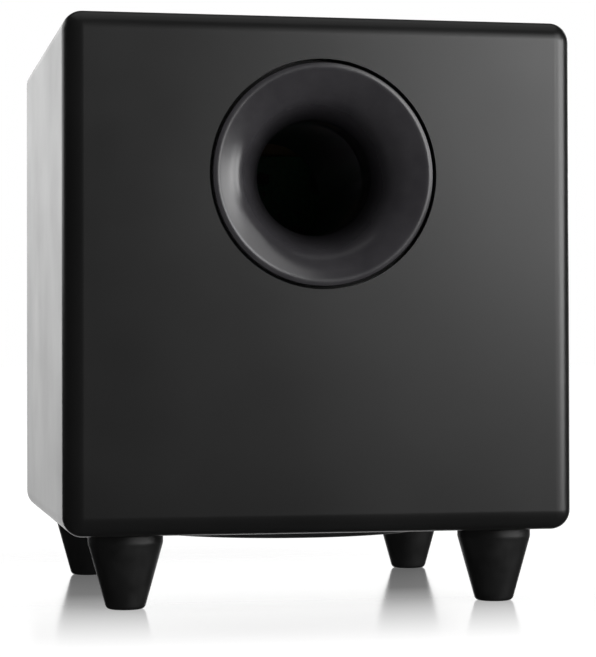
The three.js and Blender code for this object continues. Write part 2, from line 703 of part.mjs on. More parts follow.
function amplifier() {
  const hole = (r, x, z) => at(rodY(r, 12, TINY), x, 0, z);
  const plate = cut(
    at(roundedPlate(PLATE_W, PLATE_H, PLATE_T, 8), 0, BACK, 0),
    hole(BUSH_R + GAP, VOLUME_X, KNOB_Z),
    hole(BUSH_R + GAP, CROSSOVER_X, KNOB_Z),
    hole(5.4 + GAP, JACK_LEFT_X, JACK_Z),
    hole(5.4 + GAP, JACK_RIGHT_X, JACK_Z),
    hole(2.3 + GAP, LED_X, KNOB_Z),
    at(block(4.2 + SLIDE_TRAVEL + 0.8, 12, 4.8), PHASE_X, 0, KNOB_Z),
    at(block(14.6, 12, 21), ROCKER_X, 0, MAINS_Z),
    at(block(27.6, 12, 20.2), INLET_X, 0, MAINS_Z),
    ...PLATE_SCREWS.map(([x, z]) => at(rodY(PILOT_R, 12, 8), x, 0, z)),
  );
  const seal = cut(
    at(roundedPlate(PLATE_W - 1, PLATE_H - 1, PLATE_SEAL - 0.2, 8), 0, BACK - PLATE_SEAL + 0.1, 0),
    block(CUTOUT_W + 2, 20, CUTOUT_H + 2),
    ...PLATE_SCREWS.map(([x, z]) => at(rodY(PILOT_R, 12, 8), x, 0, z)),
  );
  const screw = panScrew(3.8, 2.2, 15);
  const slider = join(at(block(4.2, 7.5, 4), 0, -1, 0), at(block(4.2, 1.2, 4.4), 0, BACK - 1.7, 0));
  const rockerMesh = mesh("power_rocker", rocker(), SWITCH_PLASTIC, [ROCKER_X, 0, MAINS_Z]);
  rockerMesh.rotation.x = THREE.MathUtils.degToRad(ROCKER_TILT);
  return group(
    [
      mesh("amp_plate", plate, PLATE_PAINT),
      mesh("amp_gasket", seal, BLACK_FOAM),
      mesh("volume_pot", pot(), ZINC, [VOLUME_X, 0, KNOB_Z]),
      mesh("volume_knob", knob(), SWITCH_PLASTIC, [VOLUME_X, 0, KNOB_Z]),
      mesh("crossover_pot", pot(), ZINC, [CROSSOVER_X, 0, KNOB_Z]),
      mesh("crossover_knob", knob(), SWITCH_PLASTIC, [CROSSOVER_X, 0, KNOB_Z]),
      mesh("phase_switch_housing", phaseHousing(), ZINC, [PHASE_X, 0, KNOB_Z]),
      mesh("phase_slider", slider, SWITCH_PLASTIC, [PHASE_X - SLIDE_TRAVEL / 2, 0, KNOB_Z]),
      mesh("status_led", statusLight(), LED_GREEN, [LED_X, 0, KNOB_Z]),
      mesh("rca_jack_left", phonoJack(), JACK_WHITE, [JACK_LEFT_X, 0, JACK_Z]),
      mesh("rca_jack_right", phonoJack(), JACK_RED, [JACK_RIGHT_X, 0, JACK_Z]),
      mesh("power_switch_housing", switchHousing(), SWITCH_PLASTIC, [ROCKER_X, 0, MAINS_Z]),
      rockerMesh,
      mesh("mains_inlet", mainsInlet(), SWITCH_PLASTIC, [INLET_X, 0, MAINS_Z]),
      mesh("heat_sink", heatSink(), ALUMINIUM, [-14, 0, 42]),
      mesh("amp_board", board(), BOARD_GREEN, [0, 0, 57.5]),
      mesh("power_transformer", transformer(), TAPE_YELLOW, [26, 0, -18]),
      mesh("transformer_bolt", transformerBolt(), ZINC, [26, 0, -18]),
      ...PLATE_SCREWS.map(([x, z], i) => mesh(`amp_screw_${i + 1}`, screw.clone(), SCREW_BLACK, [x, 0.1, z])),
    ],
    [0, HALF, PLATE_Z],
  );
}

// The two-core lead from the board's edge to the driver's terminals, tied into one run.
function speakerLead() {
  const route = new THREE.CatmullRomCurve3([
    new THREE.Vector3(-30, 110, 191),
    new THREE.Vector3(-32, 104, 170),
    new THREE.Vector3(-32, 88, 142),
    new THREE.Vector3(-20, 74, 120),
    new THREE.Vector3(-4, 64, 106),
    new THREE.Vector3(0, 62.5, 97.5),
  ]);
  const section = new THREE.Shape().absarc(0, 0, 2, 0, 2 * Math.PI);
  return mesh(
    "speaker_lead",
    new THREE.ExtrudeGeometry(section, { extrudePath: route, steps: 14, curveSegments: 3 }),
    LEAD_RED,
  );
}

const subwoofer = group(
  [cabinet(), port(), feet(), driver(), amplifier(), speakerLead()],
  [0, -KNOB_PROUD / 2, 0],
);

export default subwoofer;
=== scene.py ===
"""Looks of a compact powered subwoofer: a black satin cube on four tapered feet, with a flared bass
port in front, a down-firing driver underneath and a plate amplifier in the back.

Shapes are made in millimetres with y measured from the cabinet's middle and z from the floor, and
row() turns them into the frame's metres."""

import math

import bmesh
import bpy
import numpy as np
from mathutils import Matrix, Vector


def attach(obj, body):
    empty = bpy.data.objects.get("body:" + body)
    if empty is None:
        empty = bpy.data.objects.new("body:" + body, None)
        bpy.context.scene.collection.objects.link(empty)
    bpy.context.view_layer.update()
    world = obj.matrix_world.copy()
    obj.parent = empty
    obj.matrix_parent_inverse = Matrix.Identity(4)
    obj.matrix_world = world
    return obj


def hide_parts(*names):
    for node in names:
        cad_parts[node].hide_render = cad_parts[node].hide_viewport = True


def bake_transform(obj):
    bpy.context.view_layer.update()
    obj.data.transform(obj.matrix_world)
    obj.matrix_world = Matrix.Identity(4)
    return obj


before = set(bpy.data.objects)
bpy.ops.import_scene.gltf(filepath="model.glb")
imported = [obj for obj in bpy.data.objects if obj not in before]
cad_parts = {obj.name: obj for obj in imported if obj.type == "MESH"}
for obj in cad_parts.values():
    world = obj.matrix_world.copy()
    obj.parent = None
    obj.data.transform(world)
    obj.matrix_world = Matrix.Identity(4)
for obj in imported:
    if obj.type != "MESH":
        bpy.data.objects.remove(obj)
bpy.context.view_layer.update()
SHIFT_Y = -7.0  # the cabinet's middle, from the middle of the whole object's box

# -------- sizes, in millimetres
HALF = 140.0
PANEL = 16.0
EDGE_R = 11.0
BOTTOM = 41.0
TOP = 321.0
PORT_Z = 235.0
PLATE_Z = 171.0
FEET = [(x, y, 0) for y in (-104.5, 104.5) for x in (-103.5, 103.5)]
FOOT_NODES = ["foot_front_left", "foot_front_right", "foot_rear_left", "foot_rear_right"]
PLATE_SCREWS = [(x, 0, PLATE_Z + z) for z in (102, 0, -102) for x in (-82, 82)]
BOLT_CIRCLE = 99.5  # the radius that the driver's screws stand at
SCREW_BORE = 1.7
BACK = HALF - 3.0  # the amplifier plate's inner face
KNOBS_Z = PLATE_Z + 80
JACKS_Z = PLATE_Z + 34
MAINS_Z = PLATE_Z - 76
VOLUME_X, CROSSOVER_X, PHASE_X, LED_X = 54, 12, -36, -66
JACK_LEFT_X, JACK_RIGHT_X = 54, 32
INLET_X, ROCKER_X = -38, 12


def row(x, y, z):
    """A point of the row frame, in metres, from cabinet millimetres."""
    return Vector((x, y + SHIFT_Y, z)) * 0.001


# -------- materials
def nodes_of(name):
    """A new material and its surface shader."""
    made = bpy.data.materials.new(name)
    made.use_nodes = True
    return made, made.node_tree.nodes["Principled BSDF"]


def link(a, b):
    a.id_data.links.new(a, b)


def added(beside, kind):
    """A new shader node in the tree that beside, a socket or node, belongs to."""
    return beside.id_data.nodes.new(f"ShaderNode{kind}")


def fill(made, values):
    """Set a node's unlinked sockets by name."""
    for name, value in values.items():
        made.inputs[name].default_value = value


def coordinates(shader, kind="Object"):
    return added(shader, "TexCoord").outputs[kind]


def split(vector):
    """The X, Y and Z sockets of a vector."""
    made = added(vector, "SeparateXYZ")
    link(vector, made.inputs[0])
    return made.outputs


def texture(kind, place, **values):
    """A texture node fed with coordinates, with its values set by socket name."""
    made = added(place, kind)
    fill(made, values)
    link(place, made.inputs["Vector"])
    return made


def remap(value, low, high, source=(0.3, 0.7)):
    """value taken from the range source to the range from low to high, and held at its ends."""
    made = added(value, "MapRange")
    fill(made, {"From Min": source[0], "From Max": source[1], "To Min": low, "To Max": high})
    link(value, made.inputs["Value"])
    return made.outputs["Result"]


def arithmetic(operation, total, *others):
    """Sockets taken together one after another by maths nodes."""
    for other in others:
        made = added(total, "Math")
        made.operation = operation
        link(total, made.inputs[0])
        link(other, made.inputs[1])
        total = made.outputs[0]
    return total


def vector_maths(operation, vector, other=None):
    """A vector socket taken with another socket or with a plain vector."""
    made = added(vector, "VectorMath")
    made.operation = operation
    link(vector, made.inputs[0])
    if isinstance(other, bpy.types.NodeSocket):
        link(other, made.inputs[1])
    elif other is not None:
        made.inputs[1].default_value = other
    return made.outputs["Value" if operation in ("LENGTH", "DOT_PRODUCT") else "Vector"]


def mixed(factor, first, second):
    made = added(factor, "MixShader")
    for socket, source in zip(made.inputs, (factor, first, second)):
        link(source, socket)
    return made.outputs[0]


def finish(name, dark, light, rough, metallic=0.0, blotch=60, grain=900, bump=0.02, stretch=(1, 1, 1),
           coat=0.0, sheen=0.0, weave=0, cells=0):
    """A surface whose colour drifts between dark and light (colours, or greys as plain numbers) in
    blotches, whose roughness drifts with it and whose grain stands up as a bump: noise, or threads with
    weave, or cells with cells."""
    made, shader = nodes_of(name)
    mapping = added(shader, "Mapping")
    fill(mapping, {"Scale": stretch})
    link(coordinates(shader), mapping.inputs["Vector"])
    place = mapping.outputs["Vector"]
    patches = texture("TexNoise", place, Scale=blotch, Detail=4.0, Roughness=0.6)
    ramp = added(shader, "ValToRGB")
    for stop, position, colour in zip(ramp.color_ramp.elements, (0.32, 0.68), (dark, light)):
        stop.position = position
        stop.color = (*(colour if isinstance(colour, tuple) else [colour] * 3), 1)
    link(patches.outputs["Fac"], ramp.inputs["Fac"])
    link(ramp.outputs["Color"], shader.inputs["Base Color"])
    link(remap(patches.outputs["Fac"], *rough), shader.inputs["Roughness"])
    height = texture("TexNoise", place, Scale=grain, Detail=3.0).outputs["Fac"]
    if weave:
        threads = [texture("TexWave", place, Scale=weave, Distortion=1.5, Detail=1.0)
                   for _ in range(2)]
        threads[1].bands_direction = "Z"
        height = arithmetic("MAXIMUM", *[thread.outputs["Fac"] for thread in threads])
    if cells:
        height = texture("TexVoronoi", place, Scale=cells).outputs["Distance"]
    lifted = added(shader, "Bump")
    fill(lifted, {"Strength": 1.0, "Distance": bump * 0.001})
    link(height, lifted.inputs["Height"])
    link(lifted.outputs["Normal"], shader.inputs["Normal"])
    fill(shader, {"Metallic": metallic, "Coat Weight": coat, "Sheen Weight": sheen})
    return made


def warm_grey(value, warm):
    return (value * (1 + warm), value, value * (1 - warm))


LACQUER = finish("satin_lacquer", 0.0058, 0.0082, (0.29, 0.34), blotch=9, grain=1500, bump=0.004)
MDF = finish("raw_mdf", (0.10, 0.066, 0.038), (0.145, 0.098, 0.058), (0.8, 0.9), blotch=500, grain=2500,
             bump=0.06)
PORT, FLARE = [finish(name, (0.022, 0.021, 0.0235), (0.028, 0.0268, 0.0295), (0.21, 0.25), blotch=70,
                      grain=2600, bump=0.006) for name in ("port_plastic", "flare_plastic")]
FOOT = finish("foot_plastic", 0.005, 0.0075, (0.42, 0.52), blotch=120, grain=1800, bump=0.02)
FOAM = finish("black_foam", 0.006, 0.014, (0.9, 1.0), blotch=900, bump=0.25, cells=1400)
STEEL_BLACK = finish("black_steel", 0.010, 0.015, (0.4, 0.5), blotch=120, grain=1600, bump=0.02)
PULP = finish("cone_pulp", 0.012, 0.022, (0.7, 0.85), blotch=260, grain=700, bump=0.12, sheen=0.05)
RUBBER = finish("surround_rubber", 0.010, 0.015, (0.5, 0.6), blotch=90, grain=1400, bump=0.015)
CLOTH = finish("spider_cloth", (0.42, 0.28, 0.10), (0.56, 0.40, 0.17), (0.8, 0.95), blotch=200, bump=0.12,
               weave=900, sheen=0.2)
FILM = finish("former_film", (0.28, 0.11, 0.02), (0.36, 0.15, 0.03), (0.25, 0.35), blotch=80, bump=0.004)
COPPER = finish("copper_wire", (0.60, 0.24, 0.11), (0.72, 0.32, 0.16), (0.25, 0.35), 1.0, blotch=150,
                grain=60, bump=0.08, stretch=(1, 1, 70))
ZINC = finish("zinc_steel", 0.50, 0.60, (0.26, 0.38), 1.0, blotch=140, grain=900, bump=0.006)
NICKEL = finish("nickel", warm_grey(0.58, 0.04), warm_grey(0.66, 0.04), (0.14, 0.22), 1.0, blotch=200,
                bump=0.003)
FERRITE = finish("ferrite", 0.018, 0.030, (0.6, 0.75), blotch=300, grain=1500, bump=0.06)
PLATE = finish("plate_paint", 0.011, 0.016, (0.46, 0.56), blotch=200, grain=2800, bump=0.035)
ALUMINIUM = finish("aluminium", 0.52, 0.64, (0.28, 0.4), 1.0, blotch=120, grain=500, bump=0.01,
                   stretch=(1, 1, 30))
BOARD = finish("circuit_board", (0.005, 0.055, 0.022), (0.012, 0.105, 0.045), (0.28, 0.36), blotch=380,
               bump=0.03, cells=320)
TAPE = finish("winding_tape", (0.55, 0.36, 0.03), (0.68, 0.47, 0.06), (0.3, 0.4), blotch=90, grain=300,
              bump=0.01, coat=0.3)
SWITCH = finish("switch_plastic", 0.009, 0.013, (0.28, 0.34), blotch=150, grain=2400, bump=0.006)
KNOB = finish("knob_plastic", 0.010, 0.014, (0.45, 0.55), blotch=150, grain=2600, bump=0.03)
CHIP = finish("chip_epoxy", 0.012, 0.018, (0.5, 0.6), blotch=300, grain=3000, bump=0.02)
SLEEVE = finish("capacitor_sleeve", (0.008, 0.012, 0.03), (0.012, 0.018, 0.045), (0.22, 0.3), blotch=80,
                bump=0.004)
RED = finish("jack_red", (0.42, 0.012, 0.012), (0.50, 0.02, 0.018), (0.3, 0.4), blotch=150, bump=0.006)
WHITE = finish("jack_white", 0.68, 0.76, (0.3, 0.4), blotch=150, bump=0.006)
INK = finish("white_ink", 0.62, 0.72, (0.5, 0.6), blotch=400, grain=2500, bump=0.004)
LENS = finish("led_lens", (0.05, 0.40, 0.10), (0.08, 0.48, 0.14), (0.1, 0.16), blotch=300, bump=0.002,
              coat=0.5)
SCREW = finish("screw_black", 0.016, 0.026, (0.3, 0.4), 0.6, blotch=300, grain=1400, bump=0.01)
WADDING = finish("polyester_wadding", warm_grey(0.62, 0.02), warm_grey(0.76, 0.02), (0.9, 1.0), blotch=120,
                 grain=350, bump=1.2, stretch=(1, 1, 2), sheen=0.3)
LEAD_RED = finish("lead_red", (0.30, 0.010, 0.010), (0.38, 0.018, 0.015), (0.35, 0.45), blotch=200, bump=0.01)
LEAD_BLACK = finish("lead_black", 0.012, 0.018, (0.35, 0.45), blotch=200, bump=0.01)


# -------- mesh helpers
def placed(name, data):
    """A new object in the scene."""
    made = bpy.data.objects.new(name, data)
    bpy.context.scene.collection.objects.link(made)
    return made


def mesh_data(name, mesh):
    """A bmesh as a mesh, with the bmesh used up."""
    data = bpy.data.meshes.new(name)
    mesh.to_mesh(data)
    mesh.free()
    return data


def evaluated_mesh(made):
    """What an object looks like with its modifiers on, as a bmesh."""
    bpy.context.view_layer.update()
    evaluated = made.evaluated_get(bpy.context.evaluated_depsgraph_get())
    mesh = bmesh.new()
    mesh.from_mesh(evaluated.to_mesh())
    evaluated.to_mesh_clear()
    return mesh


def skin(mesh, rows, wrap=True):
    """Faces between rows of vertices, each row a ring if wrap."""
    for a, b in zip(rows, rows[1:]):
        for i in range(len(a) if wrap else len(a) - 1):
            j = (i + 1) % len(a)
            mesh.faces.new([a[i], a[j], b[j], b[i]])


def fillet(points, closed=True):
    """A profile whose corners given as (a, b, radius) are rounded."""
    made = []
    count = len(points)
    for i, point in enumerate(points):
        here = np.array(point[:2], float)
        radius = point[2] if len(point) > 2 else 0
        if radius <= 0 or not closed and i in (0, count - 1):
            made.append(tuple(here))
            continue
        before = np.array(points[i - 1][:2], float) - here
        after = np.array(points[(i + 1) % count][:2], float) - here
        reach = min(np.linalg.norm(before), np.linalg.norm(after)) * 0.49
        before /= np.linalg.norm(before)
        after /= np.linalg.norm(after)
        angle = math.acos(max(-1.0, min(1.0, float(before @ after))))
        if angle > math.radians(176):
            made.append(tuple(here))
            continue
        run = min(radius / math.tan(angle / 2), reach)
        true_radius = run * math.tan(angle / 2)
        middle = before + after
        centre = here + middle / np.linalg.norm(middle) * true_radius / math.sin(angle / 2)
        first, last = here + before * run - centre, here + after * run - centre
        turn = math.pi - angle
        steps = max(2, math.ceil(math.degrees(turn) / 11))
        for t in [k / steps for k in range(steps + 1)]:
            mixed_in = (math.sin((1 - t) * turn) * first + math.sin(t * turn) * last) / math.sin(turn)
            made.append(tuple(centre + mixed_in))
    return made


def turned(profile, axis="z", at=(0, 0, 0), steps=96):
    """A closed profile of (radius, along) points turned about an axis through at."""
    mesh = bmesh.new()
    rings = []
    for radius, along in profile:
        ring = []
        for i in range(1 if radius < 1e-6 else steps):
            a = 2 * math.pi * i / steps
            across, up = radius * math.cos(a), radius * math.sin(a)
            where = (across, up, along) if axis == "z" else (across, along, up)
            ring.append(mesh.verts.new(Vector(where) + Vector(at)))
        rings.append(ring)
    open_ended = len(rings[0]) == 1 and len(rings[-1]) == 1
    for k in range(len(rings) - (1 if open_ended else 0)):
        a, b = rings[k], rings[(k + 1) % len(rings)]
        for i in range(steps):
            j = (i + 1) % steps
            corners = list(dict.fromkeys([a[i % len(a)], a[j % len(a)], b[j % len(b)], b[i % len(b)]]))
            if len(corners) > 2:
                mesh.faces.new(corners)
    bmesh.ops.recalc_face_normals(mesh, faces=mesh.faces)
    return mesh


def block(low, high, bevel=0.5, segments=3):
    """A box between two corners with all its edges rounded."""
    mesh = bmesh.new()
    bmesh.ops.create_cube(mesh, size=1)
    low, high = Vector(low), Vector(high)
    for v in mesh.verts:
        v.co = Vector((low[k] + (high[k] - low[k]) * (v.co[k] + 0.5) for k in range(3)))
    if bevel:
        bmesh.ops.bevel(mesh, geom=mesh.edges[:], offset=bevel, segments=segments, profile=0.5,
                        affect="EDGES")
    return mesh


def slab(x, z, width, height, low, high, *edge):
    """A block centred on (x, z), from low to high in y."""
    return block((x - width / 2, low, z - height / 2), (x + width / 2, high, z + height / 2), *edge)


def prism(outline, low, high, axis="y", bevel=0.0):
    """A closed outline given in the two other axes, standing from low to high along axis."""
    mesh = bmesh.new()
    ends = [[mesh.verts.new((h, a, b) if axis == "x" else (a, h, b)) for a, b in outline]
            for h in (low, high)]
    mesh.faces.new(ends[0])
    mesh.faces.new(ends[1][::-1])
    skin(mesh, ends)
    bmesh.ops.recalc_face_normals(mesh, faces=mesh.faces)
    if bevel:
        rims = [edge for edge in mesh.edges if any(len(face.verts) > 4 for face in edge.link_faces)]
        bmesh.ops.bevel(mesh, geom=rims, offset=bevel, segments=2, profile=0.5, affect="EDGES")
    return mesh


def rounded_outline(width, height, radius, at=(0, 0)):
    a, b = width / 2, height / 2
    corners = [(-a, -b, radius), (a, -b, radius), (a, b, radius), (-a, b, radius)]
    return [(x + at[0], z + at[1]) for x, z in fillet(corners)]


def merged(*meshes):
    """Several bmeshes as one."""
    whole = bmesh.new()
    for mesh in meshes:
        held = mesh_data("held", mesh)
        whole.from_mesh(held)
        bpy.data.meshes.remove(held)
    return whole


def carve(mesh, *tools, operation="DIFFERENCE"):
    """mesh with each tool cut away from it, or joined to it with UNION."""
    body, *cutters = [placed("tool", mesh_data("tool", each)) for each in (mesh, *tools)]
    for cutter in cutters:
        step = body.modifiers.new("step", "BOOLEAN")
        step.operation, step.solver, step.object = operation, "EXACT", cutter
    made = evaluated_mesh(body)
    for used in [body, *cutters]:
        data = used.data
        bpy.data.objects.remove(used)
        bpy.data.meshes.remove(data)
    return made


def moved(mesh, offset):
    bmesh.ops.translate(mesh, verts=mesh.verts, vec=Vector(offset))
    return mesh


def piece(name, mesh, material, body="cabinet", replaces=(), sharp=35, flat=False, second=None):
    """A bmesh in cabinet millimetres as an object that rides on a body. flat keeps large flat faces flat
    beside rounded edges. second is (material, test of a face's middle) for a second finish."""
    if second:
        for face in mesh.faces:
            face.material_index = 1 if second[1](face.calc_center_median(), face.normal) else 0
    for v in mesh.verts:
        v.co = row(*v.co)
    data = mesh_data(name, mesh)
    for each in (material, *(second or ())[:1]):
        data.materials.append(each)
    data.shade_smooth()
    data.set_sharp_from_angle(angle=math.radians(sharp))
    made = placed(name, data)
    if flat:
        weighted = made.modifiers.new("flat_faces", "WEIGHTED_NORMAL")
        weighted.keep_sharp = True
        weighted.weight = 80
    if body:
        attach(made, body)
    if replaces:
        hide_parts(*([replaces] if isinstance(replaces, str) else replaces))
    return made


def sleeve(inner, outer, low, high, edge=0.3, axis="z", at=(0, 0, 0), steps=96):
    return turned(fillet([(inner, low, edge), (outer, low, edge), (outer, high, edge), (inner, high, edge)]),
                  axis, at, steps)


def rod(radius, low, high, edge=0.3, axis="y", at=(0, 0, 0), steps=48):
    profile = fillet([(0, low), (radius, low, edge), (radius, high, edge), (0, high)], False)
    return turned(profile, axis, at, steps)


def bores(radius, low, high, places, axis="y", steps=12):
    """A plain hole's tool at each of the places, from low to high along axis."""
    return [rod(radius, low, high, 0, axis, place, steps) for place in places]


def around(count, start=0.0):
    return [start + 2 * math.pi * i / count for i in range(count)]


def bolt_places(height=0.0):
    return [(BOLT_CIRCLE * math.cos(a), BOLT_CIRCLE * math.sin(a), height) for a in around(6)]


# -------- cabinet
def board(*planes):
    """The cabinet's outside with its rounded edges, kept on the inner side of each plane, given as
    (point, outward normal), and closed again."""
    mesh = block((-HALF, -HALF, BOTTOM), (HALF, HALF, TOP), 0)
    bmesh.ops.bevel(mesh, geom=mesh.edges[:], offset=EDGE_R, segments=14, profile=0.5, affect="EDGES",
                    clamp_overlap=False)
    for point, normal in planes:
        found = bmesh.ops.bisect_plane(
            mesh, geom=mesh.verts[:] + mesh.edges[:] + mesh.faces[:], dist=1e-5, plane_co=Vector(point),
            plane_no=Vector(normal), clear_outer=True)
        rim = [g for g in found["geom_cut"] if isinstance(g, bmesh.types.BMEdge)]
        bmesh.ops.contextual_create(mesh, geom=rim)
    bmesh.ops.recalc_face_normals(mesh, faces=mesh.faces)
    return mesh


def on_outside(centre, normal):
    """Whether a face belongs to the cabinet's outside or to a painted rebate near it."""
    near_front = centre.y < -HALF + 7.2
    near_back = centre.y > HALF - 4.7
    near_base = centre.z < BOTTOM + 5.5
    near_top = centre.z > TOP - 0.5 or centre.z > TOP - EDGE_R and normal.z > 0.02
    near_side = abs(centre.x) > HALF - 4 or abs(centre.x) > HALF - 12 and abs(normal.x) > 0.02
    return near_front or near_back or near_base or near_top or near_side


def make_cabinet():
    inner = HALF - PANEL
    raw = (MDF, lambda centre, normal: not on_outside(centre, normal))
    between = [((0, -inner, 0), (0, -1, 0)), ((0, inner, 0), (0, 1, 0))]
    within = [((-inner, 0, 0), (-1, 0, 0)), ((inner, 0, 0), (1, 0, 0))]
    front = board(((0, -inner, 0), (0, 1, 0)))
    port = (0, 0, PORT_Z)
    back = board(((0, inner, 0), (0, -1, 0)))
    rebate = prism(rounded_outline(180.6, 220.6, 8.3, (0, PLATE_Z)), HALF - 4.5, HALF + 5)
    opening = slab(0, PLATE_Z, 150, 190, inner - 5, HALF + 5, 0)
    base = board(*between, *within, ((0, 0, BOTTOM + PANEL), (0, 0, 1)))
    low = BOTTOM - 5  # where the base's tools start, clear of the wood
    boards = {
        "front_baffle": carve(front, rod(62.2, -HALF - 5, -HALF + 7, 0, at=port, steps=128),
                              rod(52.2, -HALF - 5, -inner + 5, 0, at=port, steps=128)),
        "rear_panel": carve(back, rebate, opening, *bores(SCREW_BORE, inner - 5, HALF, PLATE_SCREWS)),
        "left_panel": board(*between, ((-inner, 0, 0), (1, 0, 0))),
        "right_panel": board(*between, ((inner, 0, 0), (-1, 0, 0))),
        "top_panel": board(*between, *within, ((0, 0, TOP - PANEL), (0, 0, -1))),
        "bottom_panel": carve(base, rod(105, low, BOTTOM + 5.4, 0, "z", steps=128),
                              rod(93, low, BOTTOM + PANEL + 5, 0, "z", steps=128),
                              *bores(SCREW_BORE, low, BOTTOM + 13.4, bolt_places(), "z"),
                              *bores(SCREW_BORE, low, BOTTOM + 8, FEET, "z")),
    }
    names = ("baffle", "rear_board", "left_board", "right_board", "top_board", "base_board")
    for name, (node, mesh) in zip(names, boards.items()):
        piece(name, mesh, LACQUER, replaces=node, flat=True, second=raw)


def make_wadding():
    """A puffed polyester mat bent into a U, pulled in between quilting points."""
    reach, thick, low, high = 117.0, 12.0, 101.0, 298.0  # the mat's middle surface
    line = fillet([(-reach, low), (-reach, high, 14), (reach, high, 14), (reach, low)], False)
    dense = []
    for (ax, az), (bx, bz) in zip(line, line[1:]):
        steps = max(1, int(math.hypot(bx - ax, bz - az) / 6))
        dense += [(ax + (bx - ax) * k / steps, az + (bz - az) * k / steps) for k in range(steps)]
    dense.append(line[-1])
    rng = np.random.default_rng(5)
    across = np.linspace(-104.0, 64.0, 29)
    bumps = rng.uniform(0.82, 1.0, (len(dense), len(across)))
    mesh = bmesh.new()
    sides = []
    for side in (1, -1):
        grid = []
        for i, (x, z) in enumerate(dense):
            a, b = dense[max(i - 1, 0)], dense[min(i + 1, len(dense) - 1)]
            along = Vector((b[0] - a[0], b[1] - a[1])).normalized()
            out = Vector((along.y, -along.x)) * -side
            grid.append([])
            for j, y in enumerate(across):
                u, v = i / (len(dense) - 1), j / (len(across) - 1)
                rim = min(1.0, 27 * min(u, 1 - u), 9 * min(v, 1 - v))
                pillow = 0.80 + 0.2 * abs(math.sin(math.pi * u * 9) * math.sin(math.pi * v * 4)) ** 0.5
                lift = thick / 2 * math.sqrt(rim) * pillow * (bumps[i, j] if side < 0 else 1.0) * 0.98
                grid[-1].append(mesh.verts.new((x + out.x * lift, y, z + out.y * lift)))
        skin(mesh, grid, wrap=False)
        sides.append(grid)
    rims = [[*grid[0], *[r[-1] for r in grid[1:]], *grid[-1][-2::-1], *[r[0] for r in grid[-2:0:-1]]]
            for grid in sides]
    skin(mesh, rims)
    bmesh.ops.recalc_face_normals(mesh, faces=mesh.faces)
    made = piece("wadding_mat", mesh, WADDING, replaces="acoustic_wadding", sharp=80)


# -------- bass port
THROAT = 32.0  # the port tube's inner radius


def bell(wide, start, end, steps, lead):
    """The inner flare's wall, from the wide end at start to the throat at end."""
    first = math.radians(lead)
    made = []
    for t in np.linspace(first, math.pi / 2, steps + 1):
        r = THROAT + (wide - THROAT) * (1 - math.sin(t)) / (1 - math.sin(first))
        made.append((r, start + (end - start) * (math.cos(first) - math.cos(t)) / math.cos(first)))
    return made


def paint_throat_shade(material, centre, narrow, wide):
    """Paint shade into a finish: its colour and its specular level are dimmed from the radius wide to the
    radius narrow round an axis along Y, a painted shade for the dark towards a horn's throat."""
    shader = material.node_tree.nodes["Principled BSDF"]
    offset = vector_maths("SUBTRACT", coordinates(shader), centre)
    radius = vector_maths("LENGTH", vector_maths("MULTIPLY", offset, (1, 0, 1)))
    lit = remap(radius, 0.04, 1.0, (narrow, wide))
    colour = shader.inputs["Base Color"].links[0].from_socket
    link(vector_maths("MULTIPLY", colour, lit), shader.inputs["Base Color"])
    link(remap(lit, 0.0, 0.5, (0.0, 1.0)), shader.inputs["Specular IOR Level"])


def make_port():
    at = (0, -HALF, PORT_Z)
    crown, bead, depth = 58.2, 7.0, 28.0  # the rim's top line, the radius that it is rounded to, the bell
    rim = [(crown + bead * math.sin(a), bead * (1 - math.cos(a)))
           for a in np.radians(np.linspace(16, -18, 14))]
    wide, start = rim[-1]
    gentle = (wide - THROAT) * math.tan(math.radians(18))  # the bell's depth at the rim's own slope
    inner = []
    for k in range(1, 41):
        u = math.sin(math.pi / 2 * k / 40)
        inner.append((wide - (wide - THROAT) * u, start + gentle * u + (depth - start - gentle) * u**3.3))
    flare = [(60.4, 5.4), (60.4, 1.1), (60.25, 0.75), *rim, *inner, (THROAT, 52), (34.8, 52), (34.8, 68),
             (38, 68), (51.2, 5.4)]
    # painted shade: the flare's colour and reflection are darkened towards the throat
    paint_throat_shade(FLARE, row(*at), 0.030, 0.042)
    piece("flare", turned(flare, "y", at, 160), FLARE, replaces="port_flare", sharp=40)
    piece("port_seal", sleeve(53.2, 61.8, 5.5, 6.9, 0.4, "y", at, 128), FOAM, replaces="port_gasket")
    piece("tube", sleeve(THROAT, 34.5, 52.3, 176, 0.5, "y", at, 128), PORT, replaces="port_tube")
    deep = bell(48, 195, 176.3, 24, 10)
    back = [(max(r + 3.2, 38), y - 2.4) for r, y in deep[-2:1:-1]]
    far = [*deep, (34.8, 176.3), (34.8, 160), (38, 160), *back, (50.5, 192.5), (50.5, 195), (49.3, 196)]
    piece("inner_bell", turned(far, "y", at, 128), PORT, replaces="port_inner_flare", sharp=40)


# -------- feet and screws
def screw_mesh(head, head_height, shank, shank_r=1.4):
    """A cross-head screw along +Y, with its head's underside at the origin."""
    cap = [(shank_r, 0), (head, 0, 0.25), (head * 0.93, head_height * 0.45, 0.9),
           (head * 0.5, head_height, 1.5), (0, head_height)]
    points = [(0, -shank), (shank_r * 0.35, -shank + 0.6), (shank_r * 0.8, -shank + 2.6)]
    turn = -shank + 3.2
    while turn < -1.6:
        points += [(shank_r * 0.8, turn), (shank_r, turn + 0.35), (shank_r * 0.8, turn + 0.7)]
        turn += 1.1
    points += fillet([points[-1], *cap], False)[1:]
    body = turned(points, "y", steps=32)
    arm, width, depth = head * 0.52, head * 0.17, head_height * 0.75
    tools = []
    for a, b in ((arm, width), (width, arm)):
        mesh = block((-a, head_height - depth, -b), (a, head_height + 2, b), 0)
        for v in mesh.verts:
            if v.co.y < head_height:
                v.co.x *= 0.55
                v.co.z *= 0.55
        tools.append(mesh)
    return carve(body, *tools)


